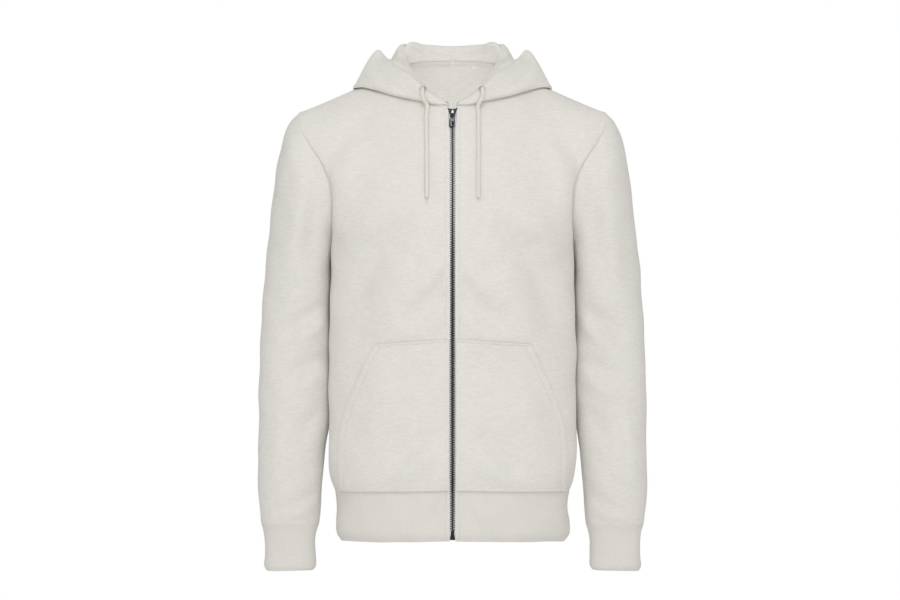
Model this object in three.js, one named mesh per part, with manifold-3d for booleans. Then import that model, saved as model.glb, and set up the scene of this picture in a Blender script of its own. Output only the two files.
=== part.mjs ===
// A zip-up hooded sweatshirt, filled out as if it were worn, with its hood down and its zip closed.
// Millimetres. +Z is up, the front faces -Y, and the wearer's left is +X.
// The origin is where the wearer's shoulders carry it: in the neck, level with the top of the shoulder
// seams.
import * as THREE from "three";
import { mergeVertices } from "three/addons/utils/BufferGeometryUtils.js";
import Module from "manifold-3d";

const wasm = await Module();
wasm.setup();

// Cloth thicknesses, and the gaps that keep sewn and laid-on pieces apart
const FLEECE = 2.0;
const DOUBLED_RIB = 2.6;
const DOUBLED_HOOD = 2.4;
const TAPE = 1.0;
const SEAM_GAP = 0.36;
const HOOD_SEAM_LIFT = 0.3;
const ARMPIT_GAP = 1.6;
const SHARPEST_CORNER = 0.4;
const SAME_POINT = 1e-4;
const SEAM_POINT_STEPS = 50;
const POCKET_GAP = 1.0;

// Main sizes
const ZIP_EDGE_X = 7.5;
const HEM_Z = -699;
const HEM_SEAM_Z = -625.5;
const ARMPIT_Z = -262;
const SIDE_DROP = 6;
const TIP_X = 231;
const TIP_Z = -65;
const SHOULDER_SEAM_Y = 8;
const SHOULDER_RISE = -1.2;

// How a ring's quarter runs from its centre to its side: below 1 it is squarer than an ellipse, and a
// higher power puts the swelling nearer to the side
const RING_SQUARENESS = 0.82;
const SWELL_POWER = 3;

// How finely each panel is divided
const SKIRT_ROWS = 10;
const YOKE_ROWS = 8;
const SHOULDER_COLUMNS = 5;
const BAND_ROWS = 4;
const SLEEVE_ROWS = 16;
const CUFF_ROWS = 5;
const HOOD_ROWS = 16;
const POCKET_ROWS = 9;
const POCKET_COLUMNS = 12;
const HEM_ROW_POWER = 1.25;
const SLEEVE_ROW_POWER = 1.2;

// How places on a surface are found: the halvings and rounds of the search, the farthest share across the
// front, and the steps that a slope is taken over
const HALVINGS = 32;
const PLACE_ROUNDS = 8;
const FARTHEST_ACROSS = 0.84;
const SLOPE_STEP = 0.004;
const SLOPE_TURN = 1;

// Level rings of the body: the side seam, the centre front and back, and how far the cloth swells past the
// arm
const BODY_RINGS = smoothTable("z", [
  { z: -699, sideX: 166, sideY: 12, frontY: -105, backY: 94, frontSwell: 3, backSwell: 3 },
  { z: -691, sideX: 171.5, sideY: 12, frontY: -108, backY: 97, frontSwell: 4, backSwell: 4 },
  { z: -675, sideX: 173, sideY: 12, frontY: -109, backY: 98, frontSwell: 5, backSwell: 4 },
  { z: -648, sideX: 171, sideY: 13, frontY: -109, backY: 98, frontSwell: 5, backSwell: 4 },
  { z: -625.5, sideX: 172, sideY: 14, frontY: -110, backY: 99, frontSwell: 7, backSwell: 5 },
  { z: -612, sideX: 173.5, sideY: 15, frontY: -113, backY: 102, frontSwell: 11, backSwell: 7 },
  { z: -540, sideX: 174, sideY: 18, frontY: -115, backY: 104, frontSwell: 16, backSwell: 10 },
  { z: -450, sideX: 173, sideY: 21, frontY: -114, backY: 101, frontSwell: 17, backSwell: 11 },
  { z: -360, sideX: 172, sideY: 22, frontY: -116, backY: 104, frontSwell: 17, backSwell: 11 },
  { z: -330, sideX: 172, sideY: 22, frontY: -118, backY: 107, frontSwell: 15, backSwell: 9 },
  { z: -290, sideX: 172, sideY: 21, frontY: -120, backY: 110, frontSwell: 11, backSwell: 5 },
  { z: -262, sideX: 172, sideY: 20, frontY: -121, backY: 113, frontSwell: 5, backSwell: 3 },
]);

// The body above the armpits, from the armpit line (0) to the neckline (1)
const YOKE_RINGS = smoothTable("rise", [
  { rise: 0, frontZ: -262, frontY: -121, backZ: -262, backY: 113, frontSwell: 5, backSwell: 3 },
  { rise: 0.12, frontZ: -238, frontY: -120.5, backZ: -230, backY: 115.5, frontSwell: 9, backSwell: 4 },
  { rise: 0.25, frontZ: -212, frontY: -119, backZ: -196, backY: 117, frontSwell: 12, backSwell: 5 },
  { rise: 0.5, frontZ: -162, frontY: -112, backZ: -126, backY: 114, frontSwell: 11, backSwell: 4 },
  { rise: 0.75, frontZ: -110, frontY: -98, backZ: -54, backY: 95, frontSwell: 4, backSwell: 2 },
  { rise: 1, frontZ: -57.6, frontY: -78, backZ: 19, backY: 55, frontSwell: 0, backSwell: 0 },
]);

// The armhole seam, by the angle from the shoulder tip (0) down to the armpit (180): how far out it lies
const ARMHOLE = smoothTable("angle", [
  { angle: 0, frontX: 231, backX: 231 },
  { angle: 25, frontX: 231.5, backX: 229 },
  { angle: 45, frontX: 225, backX: 222 },
  { angle: 60, frontX: 213, backX: 213 },
  { angle: 75, frontX: 197, backX: 204 },
  { angle: 90, frontX: 184, backX: 196 },
  { angle: 120, frontX: 175, backX: 183 },
  { angle: 150, frontX: 172, backX: 174 },
  { angle: 180, frontX: 172, backX: 172 },
]);
const ARMHOLE_FRONT_REACH = 67;
const ARMHOLE_BACK_REACH = 62;

// Sleeve rings from the armhole (0) to the cuff seam (1): the outermost and innermost point, and the depth
const SLEEVE_RINGS = smoothTable("run", [
  { run: 0, outerX: 231, outerZ: -65, innerX: 172, innerZ: -262, midY: 14, halfDepth: 62 },
  { run: 0.05, outerX: 243.5, outerZ: -79, innerX: 178.5, innerZ: -272, midY: 15, halfDepth: 65 },
  { run: 0.1, outerX: 252.5, outerZ: -97, innerX: 181.5, innerZ: -284, midY: 16, halfDepth: 67 },
  { run: 0.17, outerX: 260.5, outerZ: -128, innerX: 182.5, innerZ: -302, midY: 18, halfDepth: 68 },
  { run: 0.28, outerX: 269, outerZ: -180, innerX: 182, innerZ: -332, midY: 20, halfDepth: 67 },
  { run: 0.42, outerX: 278, outerZ: -264, innerX: 181.5, innerZ: -380, midY: 21, halfDepth: 62 },
  { run: 0.58, outerX: 287, outerZ: -366, innerX: 181, innerZ: -444, midY: 19, halfDepth: 56 },
  { run: 0.74, outerX: 290.5, outerZ: -470, innerX: 183, innerZ: -518, midY: 14, halfDepth: 49 },
  { run: 0.88, outerX: 291.5, outerZ: -580, innerX: 193.5, innerZ: -592, midY: 7, halfDepth: 41 },
  { run: 0.97, outerX: 289.5, outerZ: -664, innerX: 198.5, innerZ: -662, midY: 2, halfDepth: 36 },
  { run: 1, outerX: 287, outerZ: -680, innerX: 199.5, innerZ: -678, midY: 1, halfDepth: 34 },
]);
const CUFF_RINGS = smoothTable("run", [
  { run: 0, outerX: 287, outerZ: -680, innerX: 199.5, innerZ: -678, midY: 1, halfDepth: 34 },
  { run: 0.12, outerX: 284.6, outerZ: -688, innerX: 202, innerZ: -687, midY: 1, halfDepth: 31 },
  { run: 0.32, outerX: 282, outerZ: -702, innerX: 204.8, innerZ: -701, midY: 0, halfDepth: 28 },
  { run: 0.7, outerX: 281, outerZ: -728, innerX: 205.5, innerZ: -727, midY: -1, halfDepth: 26 },
  { run: 0.93, outerX: 281.5, outerZ: -745, innerX: 206, innerZ: -744, midY: -1, halfDepth: 26 },
  { run: 1, outerX: 279, outerZ: -749.5, innerX: 208.5, innerZ: -748, midY: -1, halfDepth: 24 },
]);
const RING_COLUMNS = 2 * YOKE_ROWS;
const ARMHOLE_FADE_RUN = 0.2;

// Turns round the neck from the centre front (0) to the centre back (180), at which the panels have their
// columns
const NECK_CENTRE_Y = -15;
const FRONT_NECK_TURNS = [6.8, 20, 35, 51, 67, 81, 91, 99, 107];
const BACK_NECK_TURNS = [180, 163, 147, 133, 122, 114, 107];
const SHOULDER_TURN = 107;
const NECKLINE = smoothTable("turn", [
  { turn: 6.8, reach: 63.5, z: -57.6 },
  { turn: 35, reach: 66, z: -50 },
  { turn: 65, reach: 72, z: -31 },
  { turn: 88, reach: 80, z: -10 },
  { turn: 107, reach: 84, z: 3 },
  { turn: 125, reach: 81, z: 12.5 },
  { turn: 140, reach: 77, z: 16.5 },
  { turn: 180, reach: 70, z: 19 },
]);

// The hood, thrown back. Each table is one line round it, in the order in which the cloth runs from the
// neck seam: over the roll, under the hood, round its lowest fold, up the belly and over the crest, down
// into the hollow, over the brow and to the rim of the face opening.
const ROLL = smoothTable("turn", [
  { turn: 6.8, reach: 63.6, z: -56.9 },
  { turn: 20, reach: 65.6, z: -55.8 },
  { turn: 35, reach: 67.4, z: -51.2 },
  { turn: 51, reach: 71.5, z: -42.2 },
  { turn: 67, reach: 77, z: -28.5 },
  { turn: 81, reach: 80.5, z: -7 },
  { turn: 91, reach: 83.5, z: 1 },
  { turn: 99, reach: 86, z: 6.5 },
  { turn: 107, reach: 87.5, z: 10 },
  { turn: 114, reach: 88.5, z: 16 },
  { turn: 122, reach: 88.5, z: 26 },
  { turn: 131, reach: 86.5, z: 41.5 },
  { turn: 150, reach: 87, z: 45.2 },
  { turn: 180, reach: 87, z: 44 },
]);
const UNDER = smoothTable("turn", [
  { turn: 6.8, reach: 63.7, z: -56.4 },
  { turn: 20, reach: 66.9, z: -56.5 },
  { turn: 35, reach: 68.9, z: -52.2 },
  { turn: 51, reach: 73.8, z: -45.2 },
  { turn: 67, reach: 85, z: -35.5 },
  { turn: 81, reach: 96, z: -23 },
  { turn: 91, reach: 113, z: -14.5 },
  { turn: 99, reach: 122, z: -12.5 },
  { turn: 107, reach: 121, z: -13 },
  { turn: 114, reach: 119, z: -15.5 },
  { turn: 122, reach: 119, z: -22.5 },
  { turn: 133, reach: 122, z: -31.5 },
  { turn: 147, reach: 124, z: -49 },
  { turn: 163, reach: 122, z: -62 },
  { turn: 180, reach: 120, z: -67 },
]);
const FOLD = smoothTable("turn", [
  { turn: 6.8, reach: 63.8, z: -55.8 },
  { turn: 18, reach: 68.2, z: -56.4 },
  { turn: 30, reach: 70.4, z: -54.3 },
  { turn: 36.5, reach: 72.3, z: -51.8 },
  { turn: 46, reach: 76.6, z: -49.4 },
  { turn: 54, reach: 79.8, z: -47.1 },
  { turn: 61, reach: 86.6, z: -44.6 },
  { turn: 67.4, reach: 93.8, z: -41.6 },
  { turn: 77, reach: 105.9, z: -36.3 },
  { turn: 85.2, reach: 120, z: -30.8 },
  { turn: 89.1, reach: 130.8, z: -27.6 },
  { turn: 92.5, reach: 138, z: -26.3 },
  { turn: 95, reach: 148, z: -27 },
  { turn: 99, reach: 151, z: -27.2 },
  { turn: 107, reach: 152.5, z: -33.5 },
  { turn: 114, reach: 152, z: -42.5 },
  { turn: 122, reach: 150.5, z: -55 },
  { turn: 133, reach: 150, z: -76 },
  { turn: 147, reach: 147, z: -107 },
  { turn: 163, reach: 144, z: -137 },
  { turn: 180, reach: 142, z: -157 },
]);
const BELLY = smoothTable("turn", [
  { turn: 6.8, reach: 63.9, z: -55.3 },
  { turn: 20, reach: 70.2, z: -53.8 },
  { turn: 35, reach: 75, z: -49 },
  { turn: 51, reach: 82.8, z: -43 },
  { turn: 67, reach: 97, z: -36 },
  { turn: 81, reach: 115, z: -27.5 },
  { turn: 91, reach: 133, z: -20.5 },
  { turn: 99, reach: 146.5, z: -18 },
  { turn: 107, reach: 148, z: -22 },
  { turn: 114, reach: 149, z: -31 },
  { turn: 122, reach: 151, z: -43 },
  { turn: 133, reach: 155, z: -62 },
  { turn: 147, reach: 158, z: -88 },
  { turn: 163, reach: 159.5, z: -112 },
  { turn: 180, reach: 160, z: -130 },
]);
const CREST = smoothTable("turn", [
  { turn: 6.8, reach: 63.9, z: -54.8 },
  { turn: 20, reach: 70.6, z: -50 },
  { turn: 35, reach: 75.6, z: -40.5 },
  { turn: 51, reach: 80.5, z: -29 },
  { turn: 67, reach: 88, z: -15 },
  { turn: 81, reach: 98, z: -3 },
  { turn: 91, reach: 109, z: 6 },
  { turn: 99, reach: 121.5, z: 15 },
  { turn: 103, reach: 122, z: 23 },
  { turn: 108, reach: 119, z: 32 },
  { turn: 113, reach: 120, z: 27 },
  { turn: 122, reach: 132, z: 3 },
  { turn: 133, reach: 148, z: -12 },
  { turn: 147, reach: 158, z: -32 },
  { turn: 163, reach: 164, z: -50 },
  { turn: 180, reach: 166, z: -60 },
]);
const HOLLOW = smoothTable("turn", [
  { turn: 6.8, reach: 63.9, z: -54.3 },
  { turn: 20, reach: 69, z: -46.5 },
  { turn: 35, reach: 71.3, z: -32.5 },
  { turn: 57, reach: 74, z: -13 },
  { turn: 80, reach: 79, z: 5 },
  { turn: 99, reach: 92, z: 17 },
  { turn: 107, reach: 98, z: 16.5 },
  { turn: 114, reach: 104, z: 16 },
  { turn: 122, reach: 111, z: 18 },
  { turn: 133, reach: 124, z: 16 },
  { turn: 147, reach: 137, z: 9 },
  { turn: 180, reach: 149, z: -4 },
]);
const BROW = smoothTable("turn", [
  { turn: 6.8, reach: 63.9, z: -53.9 },
  { turn: 20, reach: 66.8, z: -45 },
  { turn: 35, reach: 66.5, z: -33 },
  { turn: 57, reach: 66, z: -14 },
  { turn: 80, reach: 68.5, z: 2.5 },
  { turn: 99, reach: 78, z: 14.5 },
  { turn: 107, reach: 82, z: 18.5 },
  { turn: 114, reach: 88, z: 26 },
  { turn: 122, reach: 97, z: 34.5 },
  { turn: 131, reach: 104, z: 42 },
  { turn: 150, reach: 121, z: 37.5 },
  { turn: 180, reach: 132, z: 22 },
]);
const RIM = smoothTable("turn", [
  { turn: 6.8, reach: 63.9, z: -53.5 },
  { turn: 16, reach: 63.4, z: -47 },
  { turn: 27, reach: 61.8, z: -38.5 },
  { turn: 42, reach: 60.4, z: -27.3 },
  { turn: 54, reach: 59.8, z: -17.5 },
  { turn: 67, reach: 60, z: -7.5 },
  { turn: 93, reach: 64, z: 6.6 },
  { turn: 107, reach: 71.2, z: 15.5 },
  { turn: 118, reach: 79.6, z: 25.3 },
  { turn: 124, reach: 87, z: 34 },
  { turn: 130, reach: 95.5, z: 42 },
  { turn: 150, reach: 110, z: 40 },
  { turn: 180, reach: 118, z: 31 },
]);
const HOOD_LINES = [NECKLINE, ROLL, UNDER, FOLD, BELLY, CREST, HOLLOW, BROW, RIM];

// The pocket's outer edge, from the hem seam up its slanted hand opening to its top corner
const POCKET_TOP_Z = -403.6;
const POCKET_FOOT_Z = -623.6;
const POCKET_CORNER_DROP = 7.5;
const POCKET_FOOT_DROP = 3.8;
const POCKET_OUTLINE = smoothTable("z", [
  { z: -630, edgeX: 167.5 },
  { z: -554, edgeX: 166.8 },
  { z: -543, edgeX: 166 },
  { z: -512, edgeX: 158 },
  { z: -474, edgeX: 143.5 },
  { z: -440, edgeX: 128 },
  { z: -411, edgeX: 114 },
  { z: -403, edgeX: 110.5 },
]);

// The zip, by depths behind the front's outer face
const TAPE_TOP_Z = -58.2;
const TAPE_FOOT_Z = -697;
const TAPE_INNER_X = 4;
const TAPE_OUTER_X = 13;
const TAPE_DEPTH = 3.0;
const CHAIN_HALF = 3.4;
const CHAIN_DEPTH = 2.3;
const CHAIN_THICK = 2.4;
const CHAIN_TOP_Z = -74.9;
const CHAIN_FOOT_Z = -683.6;
const SLIDER_Z = -68;
const SLIDER_FRONT_DEPTH = 0.3;
const SLIDER_PLATE = 1.6;
const SLIDER_BACK_DEPTH = 5.0;
const STRIP_END_GAP = 1;
const BRIDGE_INNER = 1.5;
const BRIDGE_OUTER = 2.5;
const BRIDGE_WIDTH = 2.0;
const BRIDGE_SINK = 0.4;
const BRIDGE_SEGMENTS = 8;
const HINGE_UP = -4.2;
const HINGE_DEPTH = -1.3;
const TAB_THICK = 1.3;
const TAB_SKEW = 4;
const BOX_Z = -694.5;
const BOX_FRONT_DEPTH = 1.7;
const BOX_BACK_DEPTH = 5.3;
const POST_FRONT_DEPTH = 1.3;
const POST_BACK_DEPTH = 5.6;

// Outlines of the zip's hard parts, across and up. The symmetric ones give their half on the wearer's left.
const SLIDER_HALF = [
  [0, -6.4], [3.2, -6.4], [3.8, -5.8], [4.2, -2], [5.75, 3.2], [5.2, 5.6], [3.6, 6.4], [0, 5.4],
];
const SLIDER_POST = [[-1.4, 2.2], [1.4, 2.2], [1.4, 5], [-1.4, 5]];
const TAB_HALF = [
  [0, -20.6], [2.6, -20.6], [3.7, -19.8], [4, -18.6], [4, -8.2], [3.4, -6.4], [2.5, -5],
  [2.9, -2.6], [2.8, -0.6], [2, 0.45], [1, 0.62], [0, 0.65],
];
const TAB_EYE_HALF = [[0, -3.6], [1, -3.4], [1.55, -2.6], [1.65, -1.4], [1.4, -0.65], [0, -0.65]];
const TAB_WINDOW = [[-2, -17.6], [-2, -11.6], [2, -11.6], [2, -17.6]];
const BOX_HALF = [[0, -3.6], [3.2, -3.6], [3.6, -3.1], [3.6, 2.6], [2.8, 3.6], [2.4, 10], [0, 10]];

// The eyelets and the drawcords
const EYELET_TURN = 36;
const EYELET_SHARE = 0.69;
const EYELET_OUTER = 5.2;
const EYELET_INNER = 3.7;
const EYELET_THICK = 0.8;
const EYELET_LIFT = 0.05;
const EYELET_CHAMFER = 0.3;
const EYELET_SIDES = 14;
const CORD_RADIUS = 3.1;
const CORD_SIDES = 8;
const CORD_STEPS = 22;
const CORD_LIFT = 0.7;
const CORD_EXIT = [0.5, 4.2];
const CORD_RESTS = [
  { turn: 34.6, share: 0.6, lift: 2.3 },
  { turn: 32.5, share: 0.51, lift: 1.2 },
  { turn: 30.6, share: 0.41, lift: 1 },
];
const CORD_HANGS = [
  { x: 38.2, z: -80 },
  { x: 37.8, z: -105 },
  { x: 37.6, z: -135 },
  { x: 37.5, z: -165 },
  { x: 37.5, z: -197 },
];

// The neck tape and the blank size label, by distances below the neck seam
const NECK_TAPE_TOP = 1;
const NECK_TAPE_FOOT = 7;
const NECK_TAPE_LIFT = 0.9;
const NECK_TAPE_TRIM = 0.2;
const LABEL_X = 33.7;
const LABEL_WIDTH = 6.5;
const LABEL_TOP = 7.4;
const LABEL_FOOT = 13;

// Colours and surfaces, from the photo
const FLEECE_LOOK = { color: 0xe1e0db, roughness: 0.95, metalness: 0 };
const RIB_LOOK = { color: 0xdbd8d2, roughness: 0.95, metalness: 0 };
const CORD_LOOK = { color: 0xe3e0d8, roughness: 0.9, metalness: 0 };
const ZIP_TAPE_LOOK = { color: 0xdfe3e8, roughness: 0.8, metalness: 0 };
const NECK_TAPE_LOOK = { color: 0xdbd8d2, roughness: 0.9, metalness: 0 };
const LABEL_LOOK = { color: 0xf6f6f4, roughness: 0.7, metalness: 0 };
const METAL_LOOK = { color: 0x4a4d50, roughness: 0.4, metalness: 0.9 };

/**
 * Smooth curve through a table's rows: the function it returns gives the other columns at a value of the
 * key.
 */
function smoothTable(key, rows) {
  const at = rows.map((row) => row[key]);
  const last = rows.length - 1;
  const chord = (name, i) => (rows[i + 1][name] - rows[i][name]) / (at[i + 1] - at[i]);
  const slope = (name, i) => {
    if (i === 0) return chord(name, 0);
    if (i === last) return chord(name, last - 1);
    const before = at[i] - at[i - 1];
    const after = at[i + 1] - at[i];
    return (chord(name, i - 1) * after + chord(name, i) * before) / (before + after);
  };
  const columns = Object.keys(rows[0]).filter((name) => name !== key);
  return (value) => {
    let i = 0;
    while (i < last - 1 && value > at[i + 1]) i += 1;
    const span = at[i + 1] - at[i];
    const t = THREE.MathUtils.clamp((value - at[i]) / span, 0, 1);
    const out = {};
    for (const name of columns) {
      const slopes = [slope(name, i) * span, slope(name, i + 1) * span];
      out[name] = hermite(rows[i][name], rows[i + 1][name], ...slopes, t);
    }
    return out;
  };
}

function hermite(a, b, slopeA, slopeB, t) {
  const t2 = t * t;
  const t3 = t2 * t;
  const places = (2 * t3 - 3 * t2 + 1) * a + (3 * t2 - 2 * t3) * b;
  return places + (t3 - 2 * t2 + t) * slopeA + (t3 - t2) * slopeB;
}

const radians = THREE.MathUtils.degToRad;
const mix = THREE.MathUtils.lerp;
const point = (x, y, z) => new THREE.Vector3(x, y, z);
const between = (a, b, t) => a.clone().lerp(b, t);
const away = (p, direction, distance) => p.clone().addScaledVector(direction, distance);

/** The value of a rising test at which it turns true, found by halving. */
function halve(low, high, isBelow) {
  let a = low;
  let b = high;
  for (let i = 0; i < HALVINGS; i += 1) {
    const middle = (a + b) / 2;
    if (isBelow(middle)) a = middle;
    else b = middle;
  }
  return (a + b) / 2;
}

/** The point at a turn round the neck, at a reach from its middle. */
function roundNeck(turn, reach, z) {
  return point(reach * Math.sin(radians(turn)), NECK_CENTRE_Y - reach * Math.cos(radians(turn)), z);
}

function necklinePoint(turn) {
  const at = NECKLINE(turn);
  return roundNeck(turn, at.reach, at.z);
}

/**
 * The armhole seam on the wearer's left, from the shoulder tip (0) down the front to 180, up the back to
 * 360.
 */
function armholePoint(angle) {
  const front = angle <= 180;
  const down = front ? angle : 360 - angle;
  const at = ARMHOLE(down);
  const z = mix(ARMPIT_Z, TIP_Z, (1 + Math.cos(radians(down))) / 2);
  const middleY = mix(SHOULDER_SEAM_Y, BODY_RINGS(ARMPIT_Z).sideY, down / 180);
  const reach = Math.sin(radians(down));
  return front
    ? point(at.frontX, middleY - ARMHOLE_FRONT_REACH * reach, z)
    : point(at.backX, middleY + ARMHOLE_BACK_REACH * reach, z);
}

/** A body ring's point on the wearer's left: from its centre (across 0) round to its side (across 1). */
function ringQuarter(centre, edge, swell, across) {
  const turn = (across * Math.PI) / 2;
  return point(
    mix(centre.x, edge.x, Math.sin(turn)) + swell * Math.sin(Math.PI * across ** SWELL_POWER),
    mix(edge.y, centre.y, Math.cos(turn) ** RING_SQUARENESS),
    mix(centre.z, edge.z, across),
  );
}

/**
 * The body below the armpits, and the hem band. z is the height at the centre, and the sides hang lower.
 */
function skirtPoint(half, across, z) {
  const front = half === "front";
  const ring = BODY_RINGS(z);
  const drop = (SIDE_DROP * (ARMPIT_Z - z)) / (ARMPIT_Z - HEM_Z);
  const centre = point(front ? ZIP_EDGE_X : 0, front ? ring.frontY : ring.backY, z);
  const edge = point(ring.sideX, ring.sideY, z - drop);
  return ringQuarter(centre, edge, front ? ring.frontSwell : ring.backSwell, across);
}

/** The body above the armpits before it is drawn to the neckline. rise runs from 0 at the armpit to 1. */
function yokeBase(half, across, rise) {
  const front = half === "front";
  const ring = YOKE_RINGS(rise);
  const angle = 180 * (1 - rise);
  const centre = front ? point(ZIP_EDGE_X, ring.frontY, ring.frontZ) : point(0, ring.backY, ring.backZ);
  const edge = armholePoint(front ? angle : 360 - angle);
  return ringQuarter(centre, edge, front ? ring.frontSwell : ring.backSwell, across);
}

const neckTurns = (half) => (half === "front" ? FRONT_NECK_TURNS : BACK_NECK_TURNS);
const bodyColumns = (half) => neckTurns(half).length - 1 + SHOULDER_COLUMNS;

/** The body's top edge: the neckline over the neck's columns, then the shoulder seam. */
function topEdge(half, across) {
  const turns = neckTurns(half);
  const column = across * bodyColumns(half);
  const neckColumns = turns.length - 1;
  if (column <= neckColumns) {
    const i = Math.min(Math.floor(column), neckColumns - 1);
    return necklinePoint(mix(turns[i], turns[i + 1], column - i));
  }
  const along = (column - neckColumns) / SHOULDER_COLUMNS;
  const neck = necklinePoint(SHOULDER_TURN);
  return point(
    mix(neck.x, TIP_X, along),
    mix(neck.y, SHOULDER_SEAM_Y, along),
    mix(neck.z, TIP_Z, along) + SHOULDER_RISE * Math.sin(Math.PI * along),
  );
}

/**
 * A point of the body's outer face. level runs from the hem seam (0) to the armpit (1) to the top edge
 * (2).
 */
function bodyPoint(half, across, level, side) {
  let p;
  if (level <= 1) {
    p = skirtPoint(half, across, mix(HEM_SEAM_Z, ARMPIT_Z, level));
  } else {
    p = yokeBase(half, across, level - 1);
    const gap = topEdge(half, across).sub(yokeBase(half, across, 1));
    p.addScaledVector(gap, (level - 1) ** 2);
  }
  p.x *= side;
  return p;
}

/** Where on the front panel a given distance from the centre and a given height lie. */
function frontPlace(x, z) {
  let across = 0;
  let level = 0;
  for (let i = 0; i < PLACE_ROUNDS; i += 1) {
    level = halve(0, 2, (value) => bodyPoint("front", across, value, 1).z < z);
    across = halve(0, FARTHEST_ACROSS, (value) => bodyPoint("front", value, level, 1).x < x);
  }
  return { across, level };
}

/** A point of the front panel, moved out along the cloth's own normal. */
function frontMovedOut(x, z, side, distance) {
  const { across, level } = frontPlace(x, z);
  const at = (a, l) => bodyPoint("front", a, l, side);
  const here = at(across, level);
  const sideways = at(across + SLOPE_STEP, level).sub(at(Math.max(across - SLOPE_STEP, 0), level));
  const up = at(across, level + SLOPE_STEP).sub(at(across, level - SLOPE_STEP));
  const normal = point(0, 0, 0).crossVectors(sideways, up).normalize();
  if (normal.y > 0) normal.negate();
  return away(here, normal, distance);
}

/** A grid of points: rows by columns, each from make(row share, column share). */
function grid(rows, columns, make) {
  return Array.from({ length: rows + 1 }, (_, r) =>
    Array.from({ length: columns + 1 }, (__, c) => make(r / rows, c / columns)),
  );
}

const bodyRows = SKIRT_ROWS + YOKE_ROWS;
const rowLevels = Array.from({ length: bodyRows + 1 }, (_, row) =>
  row <= SKIRT_ROWS ? row / SKIRT_ROWS : 1 + (row - SKIRT_ROWS) / YOKE_ROWS,
);

function frontGrid() {
  return grid(bodyRows, bodyColumns("front"), (r, c) =>
    bodyPoint("front", c, rowLevels[Math.round(r * bodyRows)], 1),
  );
}

/** The back panel runs from the wearer's left side to the right. */
function backGrid() {
  return grid(bodyRows, 2 * bodyColumns("back"), (r, c) => {
    const across = 1 - 2 * c;
    return bodyPoint("back", Math.abs(across), rowLevels[Math.round(r * bodyRows)], Math.sign(across));
  });
}

/** The hem band runs from one edge of the zip round the back to the other. */
function hemGrid() {
  const front = bodyColumns("front");
  const back = bodyColumns("back");
  const total = 2 * (front + back);
  return grid(BAND_ROWS, total, (r, c) => {
    const column = Math.round(c * total);
    const side = column <= total / 2 ? 1 : -1;
    const fromZip = side > 0 ? column : total - column;
    const inFront = fromZip <= front;
    const across = inFront ? fromZip / front : 1 - (fromZip - front) / back;
    const z = mix(HEM_Z, HEM_SEAM_Z, 1 - (1 - r) ** HEM_ROW_POWER);
    const p = skirtPoint(inFront ? "front" : "back", across, z);
    p.x *= side;
    return p;
  });
}

/** A ring of a sleeve or cuff: angle 0 is outermost, 90 is in front. */
function armPoint(rings, run, angle) {
  const at = rings(run);
  const along = Math.cos(radians(angle)) / 2;
  return point(
    (at.outerX + at.innerX) / 2 + along * (at.outerX - at.innerX),
    at.midY - Math.sin(radians(angle)) * at.halfDepth,
    (at.outerZ + at.innerZ) / 2 + along * (at.outerZ - at.innerZ),
  );
}

function sleevePoint(run, angle) {
  const fade = Math.max(0, 1 - run / ARMHOLE_FADE_RUN) ** 2;
  const gap = armholePoint(angle).sub(armPoint(SLEEVE_RINGS, 0, angle));
  return armPoint(SLEEVE_RINGS, run, angle).addScaledVector(gap, fade);
}

function sleeveGrid() {
  const made = grid(SLEEVE_ROWS, RING_COLUMNS, (r, c) => sleevePoint(r ** SLEEVE_ROW_POWER, 360 * c));
  return made.map((row) => row.slice(0, -1));
}

function cuffGrid() {
  const made = grid(CUFF_ROWS, RING_COLUMNS, (r, c) => armPoint(CUFF_RINGS, r, 360 * c));
  return made.map((row) => row.slice(0, -1));
}

const hoodTurns = [...FRONT_NECK_TURNS, ...BACK_NECK_TURNS.slice(0, -1).reverse()];

/** A point of the hood's outer face: share runs along the cloth from the neck seam (0) to the rim (1). */
function hoodPoint(turn, share) {
  const places = HOOD_LINES.map((line) => {
    const at = line(turn);
    return point(at.reach, at.z, 0);
  });
  const at = new THREE.CatmullRomCurve3(places, false, "centripetal").getPoint(share);
  return roundNeck(turn, at.x, at.y);
}

/** The hood's first row stands just off the neckline, outward and up. */
function hoodGrid() {
  const columns = hoodTurns.length - 1;
  return grid(HOOD_ROWS, columns, (r, c) => {
    const p = hoodPoint(hoodTurns[Math.round(c * columns)], r);
    if (r === 0) {
      const off = bodyNormal(p).normalize().add(point(0, 0, 1)).normalize();
      p.addScaledVector(off, HOOD_SEAM_LIFT);
    }
    if (c === 1) p.x = 0;
    return p;
  });
}

/**
 * A sheet of cloth: its outer points, its thickness, whether it is a tube, and how far its low end stands
 * out.
 */
function sheet(name, points, thickness, tube = false, aside = 0) {
  return { name, points, thickness, tube, aside };
}

/** The same sheet on the wearer's right, with its columns turned round so that it still faces out. */
function mirrored(name, source) {
  const points = source.points.map((row) => {
    const turned = row.map((p) => point(-p.x, p.y, p.z)).reverse();
    return source.tube ? [turned[turned.length - 1], ...turned.slice(0, -1)] : turned;
  });
  return { ...source, name, points };
}

const keyOf = (p) => [p.x, p.y, p.z].map((value) => Math.round(value * SEAM_POINT_STEPS) + 0).join(",");

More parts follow.
